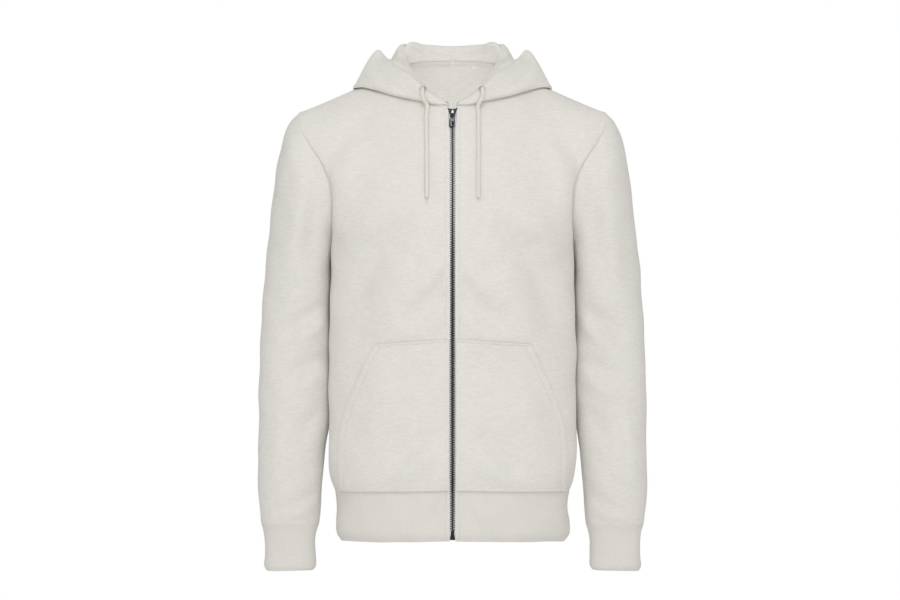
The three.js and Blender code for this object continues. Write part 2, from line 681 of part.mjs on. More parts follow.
/**
 * The mean normal of the faces round each point, so that sheets that meet at a seam lean the same way
 * there.
 */
function sharedNormals(sheets) {
  const sums = new Map();
  for (const s of sheets) {
    const columns = s.points[0].length;
    for (let r = 0; r < s.points.length - 1; r += 1) {
      for (let c = 0; c < (s.tube ? columns : columns - 1); c += 1) {
        const next = (c + 1) % columns;
        const corners = [s.points[r][c], s.points[r][next], s.points[r + 1][next], s.points[r + 1][c]];
        const diagonals = [corners[2].clone().sub(corners[0]), corners[3].clone().sub(corners[1])];
        const normal = diagonals[0].cross(diagonals[1]).normalize();
        for (const corner of corners) {
          const key = keyOf(corner);
          const sum = sums.get(key) ?? { total: point(0, 0, 0), count: 0 };
          sum.total.add(normal);
          sum.count += 1;
          sums.set(key, sum);
        }
      }
    }
  }
  return (p) => {
    const { total, count } = sums.get(keyOf(p));
    return total.clone().divideScalar(count);
  };
}

/**
 * The inner face of a sheet. Where it bends sharply, the mean normal is short and the corner moves further
 * in.
 */
function movedIn(points, normalAt, thickness) {
  return points.map((row) =>
    row.map((p) => {
      const mean = normalAt(p);
      return away(p, mean, -thickness / Math.max(mean.lengthSq(), SHARPEST_CORNER));
    }),
  );
}

/** Draws the border rows and columns back, square to the border, so that sewn pieces stay just apart. */
function drawnBack(points, tube) {
  const out = points.map((row) => row.map((p) => p.clone()));
  const lastRow = points.length - 1;
  const columns = points[0].length;
  const lastColumn = columns - 1;
  const pull = (r, c, toward, before, after) => {
    const along = after.clone().sub(before).normalize();
    const step = toward.clone().sub(points[r][c]);
    step.addScaledVector(along, -step.dot(along)).normalize();
    out[r][c].addScaledVector(step, SEAM_GAP / 2);
  };
  const besideInRow = (r, c, step) => {
    const wrapped = (c + step + columns) % columns;
    return points[r][tube ? wrapped : THREE.MathUtils.clamp(c + step, 0, lastColumn)];
  };
  const besideInColumn = (r, c, step) => points[THREE.MathUtils.clamp(r + step, 0, lastRow)][c];
  for (let c = 0; c <= lastColumn; c += 1) {
    pull(0, c, points[1][c], besideInRow(0, c, -1), besideInRow(0, c, 1));
    pull(lastRow, c, points[lastRow - 1][c], besideInRow(lastRow, c, -1), besideInRow(lastRow, c, 1));
  }
  for (let r = 0; r <= lastRow && !tube; r += 1) {
    for (const [c, toward] of [[0, 1], [lastColumn, lastColumn - 1]]) {
      pull(r, c, points[r][toward], besideInColumn(r, c, -1), besideInColumn(r, c, 1));
    }
  }
  return out;
}

/** Moves the low end of a tube's first row outward, where it and the body hang side by side. */
function stoodAside(points, aside) {
  const heights = points[0].map((p) => p.z);
  const high = Math.max(...heights);
  const low = Math.min(...heights);
  for (const p of points[0]) p.x += Math.sign(p.x) * aside * ((high - p.z) / (high - low)) ** 2;
  return points;
}

/** The closed wall between two grids of points: an outer face, an inner face and the edges between them. */
function wallGeometry(outer, inner, tube = false) {
  const rows = outer.length;
  const columns = outer[0].length;
  const index = [];
  const out = (r, c) => r * columns + (c % columns);
  const inn = (r, c) => rows * columns + out(r, c);
  const points = [...outer.flat(), ...inner.flat()];
  const quad = (a, b, c, d) => {
    const shorter = points[a].distanceTo(points[c]) <= points[b].distanceTo(points[d]);
    if (shorter) index.push(a, b, c, a, c, d);
    else index.push(a, b, d, b, c, d);
  };
  const lastColumn = tube ? columns : columns - 1;
  for (let r = 0; r < rows - 1; r += 1) {
    for (let c = 0; c < lastColumn; c += 1) {
      quad(out(r, c), out(r, c + 1), out(r + 1, c + 1), out(r + 1, c));
      quad(inn(r, c), inn(r + 1, c), inn(r + 1, c + 1), inn(r, c + 1));
    }
  }
  for (let c = 0; c < lastColumn; c += 1) {
    quad(inn(0, c), inn(0, c + 1), out(0, c + 1), out(0, c));
    quad(out(rows - 1, c), out(rows - 1, c + 1), inn(rows - 1, c + 1), inn(rows - 1, c));
  }
  for (let r = 0; r < rows - 1 && !tube; r += 1) {
    quad(out(r, 0), out(r + 1, 0), inn(r + 1, 0), inn(r, 0));
    quad(inn(r, lastColumn), inn(r + 1, lastColumn), out(r + 1, lastColumn), out(r, lastColumn));
  }
  const positions = points.flatMap((p) => [p.x, p.y, p.z]);
  const geometry = new THREE.BufferGeometry();
  geometry.setAttribute("position", new THREE.Float32BufferAttribute(positions, 3));
  geometry.setIndex(index);
  return geometry;
}

// The sewn panels. The body and the sleeves share the lean of their seams, and the hood's halves share
// theirs.
const frontLeft = sheet("front_left", frontGrid(), FLEECE);
const back = sheet("back", backGrid(), FLEECE);
const hem = sheet("hem_band", hemGrid(), DOUBLED_RIB);
const sleeveLeft = sheet("sleeve_left", sleeveGrid(), FLEECE, true, ARMPIT_GAP);
const cuffLeft = sheet("cuff_left", cuffGrid(), DOUBLED_RIB, true);
const bodyPanels = [
  frontLeft,
  mirrored("front_right", frontLeft),
  back,
  hem,
  sleeveLeft,
  mirrored("sleeve_right", sleeveLeft),
  cuffLeft,
  mirrored("cuff_right", cuffLeft),
];
const bodyNormal = sharedNormals(bodyPanels);
const hoodLeft = sheet("hood_left", hoodGrid(), DOUBLED_HOOD);
const hoodPanels = [hoodLeft, mirrored("hood_right", hoodLeft)];
const hoodNormal = sharedNormals(hoodPanels);

function panelGeometry(s, normalAt) {
  const faces = [s.points, movedIn(s.points, normalAt, s.thickness)];
  const [outer, inner] = faces.map((face) => stoodAside(drawnBack(face, s.tube), s.aside));
  return wallGeometry(outer, inner, s.tube);
}

/** The pocket is made from the front panel's own points, moved out. */
function pocketGeometry(side) {
  const layer = (distance) => {
    const made = grid(POCKET_ROWS, POCKET_COLUMNS, (r, c) => {
      const foot = POCKET_FOOT_Z - POCKET_FOOT_DROP * c;
      const z = mix(foot, POCKET_TOP_Z - POCKET_CORNER_DROP * c, r);
      const x = mix(ZIP_EDGE_X + 1, POCKET_OUTLINE(z).edgeX, c);
      return frontMovedOut(x, z, side, distance);
    });
    return side > 0 ? made : made.map((row) => row.reverse());
  };
  return wallGeometry(layer(POCKET_GAP + FLEECE), layer(POCKET_GAP));
}

// The centre front line from the hem up to the neck, with the next column beside it and the outward
// direction
const centreGrid = [...hem.points.slice(0, -1), ...frontLeft.points];
const centreRows = centreGrid.map((row) => ({ edge: row[0], beside: row[1] }));
centreRows.forEach((row, i) => {
  const before = centreRows[Math.max(i - 1, 0)].edge;
  const after = centreRows[Math.min(i + 1, centreRows.length - 1)].edge;
  const up = after.clone().sub(before).setX(0).normalize();
  row.out = point(0, -up.z, up.y);
});

/** The centre front at a height, between its rows. */
function centreAt(z) {
  const i = Math.max(1, centreRows.findIndex((row) => row.edge.z >= z));
  const low = centreRows[i - 1];
  const high = centreRows[i];
  const t = (z - low.edge.z) / (high.edge.z - low.edge.z);
  return {
    edge: between(low.edge, high.edge, t),
    beside: between(low.beside, high.beside, t),
    out: between(low.out, high.out, t).normalize(),
  };
}

/** A strip along the centre front, between two depths behind the cloth's outer face. */
function zipStrip(xs, footZ, topZ, depth, thickness) {
  const [low, high] = [footZ + STRIP_END_GAP, topZ - STRIP_END_GAP];
  const inside = centreRows.filter((row) => row.edge.z > low && row.edge.z < high);
  const rows = [centreAt(footZ), ...inside, centreAt(topZ)];
  const layer = (behind) =>
    rows.map((row) =>
      xs.map((x) => {
        const t = Math.max(0, (Math.abs(x) - ZIP_EDGE_X) / (row.beside.x - row.edge.x));
        const p = between(row.edge, row.beside, t);
        p.x = x;
        return away(p, row.out, -behind);
      }),
    );
  return wallGeometry(layer(depth), layer(depth + thickness));
}

/** The frame of a small part on the zip: x is across, y goes in behind the cloth, z goes up along it. */
function zipFrame(z) {
  const at = centreAt(z);
  const into = at.out.clone().negate();
  const up = point(0, -into.z, into.y);
  return new THREE.Matrix4().makeBasis(point(1, 0, 0), into, up).setPosition(point(0, at.edge.y, at.edge.z));
}

const toSolid = (geometry) => {
  const bare = new THREE.BufferGeometry().setAttribute("position", geometry.getAttribute("position"));
  if (geometry.index) bare.setIndex(geometry.index);
  const merged = mergeVertices(bare, SAME_POINT);
  return new wasm.Manifold(
    new wasm.Mesh({
      numProp: 3,
      vertProperties: merged.attributes.position.array,
      triVerts: new Uint32Array(merged.index.array),
    }),
  );
};

function fromSolid(solid) {
  const mesh = solid.getMesh();
  const geometry = new THREE.BufferGeometry();
  geometry.setAttribute("position", new THREE.Float32BufferAttribute(mesh.vertProperties, 3));
  geometry.setIndex([...mesh.triVerts]);
  return geometry;
}

function joined(geometries) {
  return fromSolid(geometries.map(toSolid).reduce((a, b) => a.add(b)));
}

const flatPoints = (outline) => outline.map(([x, z]) => new THREE.Vector2(x, z));

/** An outline drawn across and up, extruded from one depth behind the cloth to another. */
function plate(outline, holes, frontDepth, backDepth) {
  const shape = new THREE.Shape(flatPoints(outline));
  shape.holes = holes.map((hole) => new THREE.Path(flatPoints(hole)));
  const geometry = new THREE.ExtrudeGeometry(shape, { depth: backDepth - frontDepth, bevelEnabled: false });
  return geometry.rotateX(Math.PI / 2).translate(0, backDepth, 0);
}

/** An outline's half, with its mirror image on the wearer's right. */
function bothSides(half) {
  const other = half.filter(([x]) => x !== 0).reverse();
  return [...half, ...other.map(([x, z]) => [-x, z])];
}

/** The arch on the slider that the pull tab hangs from. */
function bridge() {
  const shape = new THREE.Shape();
  const foot = SLIDER_FRONT_DEPTH + BRIDGE_SINK;
  shape.moveTo(foot, HINGE_UP + BRIDGE_OUTER);
  shape.lineTo(HINGE_DEPTH, HINGE_UP + BRIDGE_OUTER);
  shape.absarc(HINGE_DEPTH, HINGE_UP, BRIDGE_OUTER, Math.PI / 2, 1.5 * Math.PI, false);
  shape.lineTo(foot, HINGE_UP - BRIDGE_OUTER);
  shape.lineTo(foot, HINGE_UP - BRIDGE_INNER);
  shape.lineTo(HINGE_DEPTH, HINGE_UP - BRIDGE_INNER);
  shape.absarc(HINGE_DEPTH, HINGE_UP, BRIDGE_INNER, 1.5 * Math.PI, Math.PI / 2, true);
  shape.lineTo(foot, HINGE_UP + BRIDGE_INNER);
  const settings = { depth: BRIDGE_WIDTH, bevelEnabled: false, curveSegments: BRIDGE_SEGMENTS };
  const geometry = new THREE.ExtrudeGeometry(shape, settings);
  geometry.applyMatrix4(new THREE.Matrix4().makeBasis(point(0, 1, 0), point(0, 0, 1), point(1, 0, 0)));
  return geometry.translate(-BRIDGE_WIDTH / 2, 0, 0);
}

function sliderGeometry() {
  const outline = bothSides(SLIDER_HALF);
  return joined([
    plate(outline, [], SLIDER_FRONT_DEPTH, SLIDER_FRONT_DEPTH + SLIDER_PLATE),
    plate(outline, [], SLIDER_BACK_DEPTH, SLIDER_BACK_DEPTH + SLIDER_PLATE),
    plate(SLIDER_POST, [], POST_FRONT_DEPTH, POST_BACK_DEPTH),
    bridge(),
  ]).applyMatrix4(zipFrame(SLIDER_Z));
}

function tabGeometry() {
  const holes = [bothSides(TAB_EYE_HALF).reverse(), TAB_WINDOW];
  return plate(bothSides(TAB_HALF), holes, -TAB_THICK / 2, TAB_THICK / 2)
    .rotateY(radians(TAB_SKEW))
    .translate(0, HINGE_DEPTH, HINGE_UP)
    .applyMatrix4(zipFrame(SLIDER_Z));
}

function boxGeometry() {
  return plate(bothSides(BOX_HALF), [], BOX_FRONT_DEPTH, BOX_BACK_DEPTH).applyMatrix4(zipFrame(BOX_Z));
}

/** A point of the hood with its outward direction. */
function hoodPlace(turn, share) {
  const sideways = hoodPoint(turn + SLOPE_TURN, share).sub(hoodPoint(turn - SLOPE_TURN, share));
  const up = hoodPoint(turn, share + SLOPE_STEP).sub(hoodPoint(turn, share - SLOPE_STEP));
  return { at: hoodPoint(turn, share), out: sideways.cross(up).normalize() };
}

function eyeletGeometry() {
  const place = hoodPlace(EYELET_TURN, EYELET_SHARE);
  const profile = [
    [EYELET_INNER, 0],
    [EYELET_OUTER, 0],
    [EYELET_OUTER - EYELET_CHAMFER, EYELET_THICK],
    [EYELET_INNER + EYELET_CHAMFER, EYELET_THICK],
    [EYELET_INNER, 0],
  ].map(([x, y]) => new THREE.Vector2(x, y));
  const turned = new THREE.Quaternion().setFromUnitVectors(point(0, 1, 0), place.out);
  const centre = away(place.at, place.out, EYELET_LIFT);
  const ring = new THREE.LatheGeometry(profile, EYELET_SIDES).applyQuaternion(turned);
  return ring.translate(centre.x, centre.y, centre.z);
}

/** The drawcord comes out of its eyelet, lies over the hood's edge and hangs down the chest. */
function cordPath() {
  const eyelet = hoodPlace(EYELET_TURN, EYELET_SHARE);
  const onHood = CORD_RESTS.map(({ turn, share, lift }) => {
    const place = hoodPlace(turn, share);
    return away(place.at, place.out, CORD_RADIUS + lift);
  });
  const onChest = CORD_HANGS.map(({ x, z }) => frontMovedOut(x, z, 1, CORD_RADIUS + CORD_LIFT));
  const start = CORD_EXIT.map((distance) => away(eyelet.at, eyelet.out, distance));
  return new THREE.CatmullRomCurve3([...start, ...onHood, ...onChest]);
}

function cordGeometry() {
  const ring = Array.from({ length: CORD_SIDES }, (_, i) => {
    const angle = (2 * Math.PI * i) / CORD_SIDES;
    return new THREE.Vector2(CORD_RADIUS * Math.cos(angle), CORD_RADIUS * Math.sin(angle));
  });
  const settings = { steps: CORD_STEPS, extrudePath: cordPath() };
  return new THREE.ExtrudeGeometry(new THREE.Shape(ring), settings);
}

/** Strips laid inside the back of the neck, measured down the back panel from its neck seam. */
function neckStrip(columns, top, foot, lift, thickness) {
  const face = movedIn(back.points, bodyNormal, FLEECE);
  const last = face.length - 1;
  const layer = (distance) => {
    const made = columns.map((column) => {
      const i = Math.min(Math.floor(column), face[0].length - 2);
      const t = column - i;
      const seam = between(face[last][i], face[last][i + 1], t);
      const down = between(face[last - 1][i], face[last - 1][i + 1], t).sub(seam).normalize();
      const along = face[last][i + 1].clone().sub(face[last][i]).normalize();
      const into = along.cross(down).normalize();
      return [foot, top].map((run) => away(away(seam, down, run), into, distance));
    });
    return [0, 1].map((row) => made.map((pair) => pair[row]));
  };
  return wallGeometry(layer(lift), layer(lift + thickness));
}

/** The column of the back panel's neck seam that lies at x. */
function neckColumnAt(x) {
  const row = movedIn(back.points, bodyNormal, FLEECE)[bodyRows];
  const i = row.findIndex((p, index) => p.x >= x && row[index + 1].x < x);
  return i + (row[i].x - x) / (row[i].x - row[i + 1].x);
}

const neckTapeSpans = 2 * (BACK_NECK_TURNS.length - 1);
const neckTapeColumns = Array.from({ length: neckTapeSpans + 1 }, (_, i) => SHOULDER_COLUMNS + i);
neckTapeColumns[0] += NECK_TAPE_TRIM;
neckTapeColumns[neckTapeSpans] -= NECK_TAPE_TRIM;

const hoodie = new THREE.Group();

function add(name, geometry, look) {
  const made = new THREE.Mesh(geometry, new THREE.MeshStandardMaterial(look));
  made.name = name;
  hoodie.add(made);
}

/** The same body on the wearer's right: its corners are mirrored and each triangle turned round. */
function mirroredGeometry(geometry) {
  const flipped = geometry.index ? geometry.toNonIndexed() : geometry.clone();
  const source = flipped.getAttribute("position").array;
  const positions = [];
  for (let i = 0; i < source.length; i += 9) {
    for (const corner of [0, 6, 3]) {
      positions.push(-source[i + corner], source[i + corner + 1], source[i + corner + 2]);
    }
  }
  return new THREE.BufferGeometry().setAttribute("position", new THREE.Float32BufferAttribute(positions, 3));
}

for (const panel of bodyPanels) {
  add(panel.name, panelGeometry(panel, bodyNormal), panel.thickness === DOUBLED_RIB ? RIB_LOOK : FLEECE_LOOK);
}
for (const panel of hoodPanels) add(panel.name, panelGeometry(panel, hoodNormal), FLEECE_LOOK);
add("pocket_left", pocketGeometry(1), FLEECE_LOOK);
add("pocket_right", pocketGeometry(-1), FLEECE_LOOK);

const tape = zipStrip([TAPE_INNER_X, ZIP_EDGE_X, TAPE_OUTER_X], TAPE_FOOT_Z, TAPE_TOP_Z, TAPE_DEPTH, TAPE);
add("zip_tape_left", tape, ZIP_TAPE_LOOK);
add("zip_tape_right", mirroredGeometry(tape), ZIP_TAPE_LOOK);
const chain = zipStrip([-CHAIN_HALF, CHAIN_HALF], CHAIN_FOOT_Z, CHAIN_TOP_Z, CHAIN_DEPTH, CHAIN_THICK);
add("zip_chain", chain, METAL_LOOK);
add("zip_box", boxGeometry(), METAL_LOOK);
add("zip_slider", sliderGeometry(), METAL_LOOK);
add("zip_tab", tabGeometry(), METAL_LOOK);

const eyelet = eyeletGeometry();
add("eyelet_left", eyelet, CORD_LOOK);
add("eyelet_right", mirroredGeometry(eyelet), CORD_LOOK);
const cord = cordGeometry();
add("drawcord_left", cord, CORD_LOOK);
add("drawcord_right", mirroredGeometry(cord), CORD_LOOK);

const neckTape = neckStrip(neckTapeColumns, NECK_TAPE_TOP, NECK_TAPE_FOOT, NECK_TAPE_LIFT, TAPE);
add("neck_tape", neckTape, NECK_TAPE_LOOK);
const labelColumns = [neckColumnAt(LABEL_X + LABEL_WIDTH / 2), neckColumnAt(LABEL_X - LABEL_WIDTH / 2)];
const label = neckStrip(labelColumns, LABEL_TOP, LABEL_FOOT, NECK_TAPE_LIFT, TAPE);
add("size_label", label, LABEL_LOOK);

export default hoodie;
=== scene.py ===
import math

import bmesh
import bpy
import numpy as np
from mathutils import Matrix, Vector


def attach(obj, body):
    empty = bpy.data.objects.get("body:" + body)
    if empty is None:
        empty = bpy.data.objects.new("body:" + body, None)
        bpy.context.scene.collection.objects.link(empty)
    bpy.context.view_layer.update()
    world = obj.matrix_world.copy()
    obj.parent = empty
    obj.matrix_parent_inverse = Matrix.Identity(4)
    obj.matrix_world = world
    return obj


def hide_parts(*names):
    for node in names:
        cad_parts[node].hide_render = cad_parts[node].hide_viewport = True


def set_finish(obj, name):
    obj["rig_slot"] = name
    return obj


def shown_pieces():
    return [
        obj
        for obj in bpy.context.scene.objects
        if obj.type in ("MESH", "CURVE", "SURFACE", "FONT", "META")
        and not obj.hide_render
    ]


# The looks of a zip-up hooded sweatshirt, in millimetres; every mesh is made in metres. +Z is up, the front faces
# -Y and the wearer's left is +X. The tables are those of the solids.
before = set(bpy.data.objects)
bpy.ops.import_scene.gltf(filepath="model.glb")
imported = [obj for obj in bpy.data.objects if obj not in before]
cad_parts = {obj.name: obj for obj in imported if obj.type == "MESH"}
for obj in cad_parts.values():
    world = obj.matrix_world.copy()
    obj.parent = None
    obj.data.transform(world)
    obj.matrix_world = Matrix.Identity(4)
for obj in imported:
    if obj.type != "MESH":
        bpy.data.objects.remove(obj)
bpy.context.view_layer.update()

MM = 0.001

# Cloth thicknesses and the main sizes
FLEECE = 2.0
DOUBLED_RIB = 2.6
DOUBLED_HOOD = 2.4
POCKET_GAP = 1.0
SEAM_GAP = 0.05
ZIP_EDGE_X = 6.6
ZIP_NARROW_X = 4.9
ZIP_NARROW_FROM = -75.0
ZIP_NARROW_RUN = 17.0
HEM_Z = -699.0
HEM_SEAM_Z = -625.5
ARMPIT_Z = -262.0
SIDE_DROP = 6.0
TIP_X = 231.0
TIP_Z = -65.0
SHOULDER_SEAM_Y = 8.0
SHOULDER_RISE = -1.2
ARMHOLE_FADE_RUN = 0.2
NECK_CENTRE_Y = -15.0
FRONT_NECK_TURNS = [6.0, 20, 35, 51, 67, 81, 91, 99, 107]
BACK_NECK_TURNS = [180, 163, 147, 133, 122, 114, 107]
SHOULDER_TURN = 107
SHOULDER_COLUMNS = 5


def table(names, rows):
    """Smooth curves through a table's rows, keyed by its first column: values in, a dict of columns out."""
    data = np.array(rows, float)
    at = data[:, 0]
    span = np.diff(at)
    chord = np.diff(data[:, 1:], axis=0) / span[:, None]
    slope = np.empty_like(data[:, 1:])
    slope[0], slope[-1] = chord[0], chord[-1]
    before, after = span[:-1, None], span[1:, None]
    slope[1:-1] = (chord[:-1] * after + chord[1:] * before) / (before + after)

    def evaluate(value):
        value = np.asarray(value, float)
        i = np.clip(np.searchsorted(at, value, side="left") - 1, 0, len(at) - 2)
        t = np.clip((value - at[i]) / span[i], 0, 1)[..., None]
        width = span[i][..., None]
        a, b = data[i, 1:], data[i + 1, 1:]
        t2, t3 = t * t, t * t * t
        out = (2 * t3 - 3 * t2 + 1) * a + (t3 - 2 * t2 + t) * slope[i] * width
        out = out + (3 * t2 - 2 * t3) * b + (t3 - t2) * slope[i + 1] * width
        return {name: out[..., k] for k, name in enumerate(names.split()[1:])}

    return evaluate


# Level rings of the body
BODY_RINGS = table("z sideX sideY frontY backY frontSwell backSwell", [
    (-699, 166, 12, -105, 94, 3, 3),
    (-691, 171.5, 12, -108, 97, 4, 4),
    (-675, 173, 12, -109, 98, 5, 4),
    (-648, 171, 13, -109, 98, 5, 4),
    (-625.5, 172, 14, -110, 99, 7, 5),
    (-612, 173.5, 15, -113, 102, 11, 7),
    (-540, 174, 18, -115, 104, 16, 10),
    (-450, 173, 21, -114, 101, 17, 11),
    (-360, 172, 22, -116, 104, 17, 11),
    (-330, 172, 22, -118, 107, 16, 9),
    (-290, 172, 21, -120, 110, 14.5, 7),
    (-262, 172, 20, -121, 113, 13.5, 6),
])
YOKE_RINGS = table("rise frontZ frontY backZ backY frontSwell backSwell", [
    (0, -262, -121, -262, 113, 13.5, 6),
    (0.12, -238, -120.5, -230, 115.5, 13.5, 6),
    (0.25, -212, -119, -196, 117, 12, 5),
    (0.5, -162, -112, -126, 114, 11, 4),
    (0.75, -110, -98, -54, 95, 4, 2),
    (1, -57.6, -78, 19, 55, 0, 0),
])
ARMHOLE = table("angle frontX backX", [
    (0, 231, 231),
    (25, 231.5, 229),
    (45, 225, 222),
    (60, 213, 213),
    (75, 197, 204),
    (90, 184, 196),
    (120, 175, 183),
    (150, 172, 174),
    (180, 172, 172),
])
ARMHOLE_FRONT_REACH = 67
ARMHOLE_BACK_REACH = 62
SLEEVE_RINGS = table("run outerX outerZ innerX innerZ midY halfDepth", [
    (0, 231, -65, 172, -262, 14, 62),
    (0.05, 243.5, -79, 178.5, -272, 15, 65),
    (0.1, 252.5, -97, 181.5, -284, 16, 67),
    (0.17, 260.5, -128, 182.5, -302, 18, 68),
    (0.28, 269, -180, 182, -332, 20, 67),
    (0.42, 278, -264, 181.5, -380, 21, 62),
    (0.58, 287, -366, 181, -444, 19, 56),
    (0.74, 290.5, -470, 183, -518, 14, 49),
    (0.88, 291.5, -580, 193.5, -592, 7, 41),
    (0.97, 289.5, -664, 198.5, -662, 2, 36),
    (1, 287, -680, 199.5, -678, 1, 34),
])
CUFF_RINGS = table("run outerX outerZ innerX innerZ midY halfDepth", [
    (0, 287, -680, 199.5, -678, 1, 34),
    (0.12, 284.6, -688, 202, -687, 1, 31),
    (0.32, 282, -702, 204.8, -701, 0, 28),
    (0.7, 281, -728, 205.5, -727, -1, 26),
    (0.93, 281.5, -745, 206, -744, -1, 26),
    (1, 279, -749.5, 208.5, -748, -1, 24),
])

# Lines round the hood, by the turn from the centre front: how far they reach from the neck's middle, and the height
NECKLINE = table("turn reach z", [
    (6.8, 63.5, -57.6), (35, 66, -50), (65, 72, -31), (88, 80, -10), (107, 84, 3), (125, 81, 12.5),
    (140, 77, 16.5), (180, 70, 19),
])
ROLL = table("turn reach z", [
    (6.8, 63.6, -56.9), (20, 65.6, -55.8), (35, 67.4, -51.2), (51, 71.5, -42.2), (67, 77, -28.5),
    (81, 80.5, -7), (91, 83.5, 1), (99, 86, 6.5), (107, 87.5, 10), (114, 88.5, 16), (122, 88.5, 26),
    (131, 88, 40.6), (150, 87, 40.6), (180, 87, 38.6),
])
UNDER = table("turn reach z", [
    (6.8, 63.7, -56.4), (20, 66.9, -56.5), (35, 68.9, -52.2), (51, 73.8, -45.2), (67, 85, -35.5),
    (81, 96, -23), (91, 113, -14.5), (99, 122, -12.5), (107, 121, -13), (114, 119, -15.5),
    (122, 119, -22.5), (133, 122, -31.5), (147, 124, -49), (163, 122, -62), (180, 120, -67),
])
FOLD = table("turn reach z", [
    (6.8, 63.8, -55.8), (18, 68.2, -56.4), (30, 70.4, -54.3), (36.5, 72.3, -51.8), (46, 76.6, -49.4),
    (54, 79.8, -47.1), (61, 86.6, -44.6), (67.4, 93.8, -41.6), (77, 105.9, -36.3), (85.2, 120, -30.8),
    (89.1, 130.8, -27.6), (92.5, 138, -26.3), (95, 148, -27), (99, 151, -27.2), (107, 152.5, -33.5),
    (114, 152, -42.5), (122, 150.5, -55), (133, 150, -76), (147, 147, -107), (163, 144, -137),
    (180, 142, -157),
])
BELLY = table("turn reach z", [
    (6.8, 63.9, -55.3), (20, 70.2, -53.8), (35, 75, -49), (51, 82.8, -43), (67, 97, -36),
    (81, 115, -27.5), (91, 133, -20.5), (99, 146.5, -18), (107, 148, -22), (114, 149, -31),
    (122, 151, -43), (133, 155, -62), (147, 158, -88), (163, 159.5, -112), (180, 160, -130),
])
CREST = table("turn reach z", [
    (6.8, 63.9, -54.8), (20, 70.6, -50), (35, 75.6, -40.5), (51, 80.5, -29), (67, 88, -15),
    (81, 98, -3), (91, 109, 6), (99, 121.5, 15), (103, 122, 23), (108, 119, 32), (113, 120, 27),
    (122, 132, 3), (133, 148, -12), (147, 158, -32), (163, 164, -50), (180, 166, -60),
])
HOLLOW = table("turn reach z", [
    (6.8, 63.9, -54.3), (20, 69, -46.5), (35, 71.3, -32.5), (57, 74, -13), (80, 79, 5), (99, 92, 17),
    (107, 98, 16.5), (114, 104, 16), (122, 111, 18), (133, 124, 16), (147, 137, 9), (180, 149, -4),
])
BROW = table("turn reach z", [
    (6.8, 63.9, -53.9), (20, 66.8, -45), (35, 66.5, -33), (57, 66, -14), (80, 68.5, 2.5),
    (99, 78, 14.5), (107, 82, 18.5), (114, 88, 26), (122, 97, 34.5), (131, 104, 42), (150, 121, 37.5),
    (180, 132, 22),
])
RIM = table("turn reach z", [
    (6.8, 63.9, -53.5), (16, 63.4, -47), (27, 61.8, -38.5), (42, 60.4, -27.3), (54, 59.8, -17.5),
    (67, 60, -7.5), (93, 64, 6.6), (107, 71.2, 15.5), (118, 79.6, 25.3), (124, 87, 34),
    (130, 95.5, 41), (150, 110, 38.5), (180, 118, 30),
])
HOOD_LINES = [NECKLINE, ROLL, UNDER, FOLD, BELLY, CREST, HOLLOW, BROW, RIM]

POCKET_TOP_Z = -403.6
POCKET_FOOT_Z = -623.6
POCKET_CORNER_DROP = 7.5
POCKET_FOOT_DROP = 3.8
POCKET_OUTLINE = table("z edgeX", [
    (-630, 167.5), (-554, 166.8), (-543, 166), (-512, 158), (-474, 143.5), (-440, 128), (-411, 114),
    (-403, 110.5),
])

# The zip, by depths behind the front's outer face
TAPE_TOP_Z = -58.2
TAPE_FOOT_Z = -697
TAPE_DEPTH = 3.0
CHAIN_TOP_Z = -74.9
CHAIN_FOOT_Z = -683.6
CHAIN_DEPTH = 2.3
CHAIN_THICK = 2.4
SLIDER_Z = -68

# The eyelets and the drawcords
EYELET_TURN = 36
EYELET_SHARE = 0.69
CORD_RADIUS = 3.1
CORD_LIFT = 0.7
CORD_EXIT = [0.5, 4.2]
CORD_RESTS = [(34.6, 0.6, 2.3), (32.5, 0.51, 1.2), (30.6, 0.41, 1)]
CORD_HANGS = [(38.2, -80), (37.8, -105), (37.6, -135), (37.5, -165), (37.5, -197)]

MIRROR = np.array([-1, 1, 1])
SIDES = (("left", 1), ("right", -1))


def mix(a, b, t):
    return a + (b - a) * t


def xyz(x, y, z):
    return np.stack(np.broadcast_arrays(*(np.asarray(v, float) for v in (x, y, z))), axis=-1)


def unit(v):
    length = np.linalg.norm(v, axis=-1, keepdims=True)
    return v / np.maximum(length, 1e-9)


def fade(distance, reach):
    t = np.clip(distance / reach, 0, 1)
    return t * t * (3 - 2 * t)


def run_along(points):
    """The length along a path, from 0 at its first point."""
    return np.concatenate([[0], np.cumsum(np.linalg.norm(np.diff(points, axis=0), axis=1))])


def read_off(value, at, points):
    """Points of a path, read off between those that it has at the values in at."""
    return np.stack([np.interp(value, at, points[:, k]) for k in range(3)], axis=-1)


def grid_of(make, rows, columns):
    return make(*np.meshgrid(rows, columns, indexing="ij"))


def zip_edge_x(z):
    """How far the front's edge lies from the middle: it closes in on the teeth below the slider."""
    return mix(ZIP_EDGE_X, ZIP_NARROW_X, fade(ZIP_NARROW_FROM - np.asarray(z, float), ZIP_NARROW_RUN))


def round_neck(turn, reach, z):
    angle = np.radians(turn)
    return xyz(reach * np.sin(angle), NECK_CENTRE_Y - reach * np.cos(angle), z)


def neckline_point(turn):
    at = NECKLINE(turn)
    return round_neck(turn, at["reach"], at["z"])


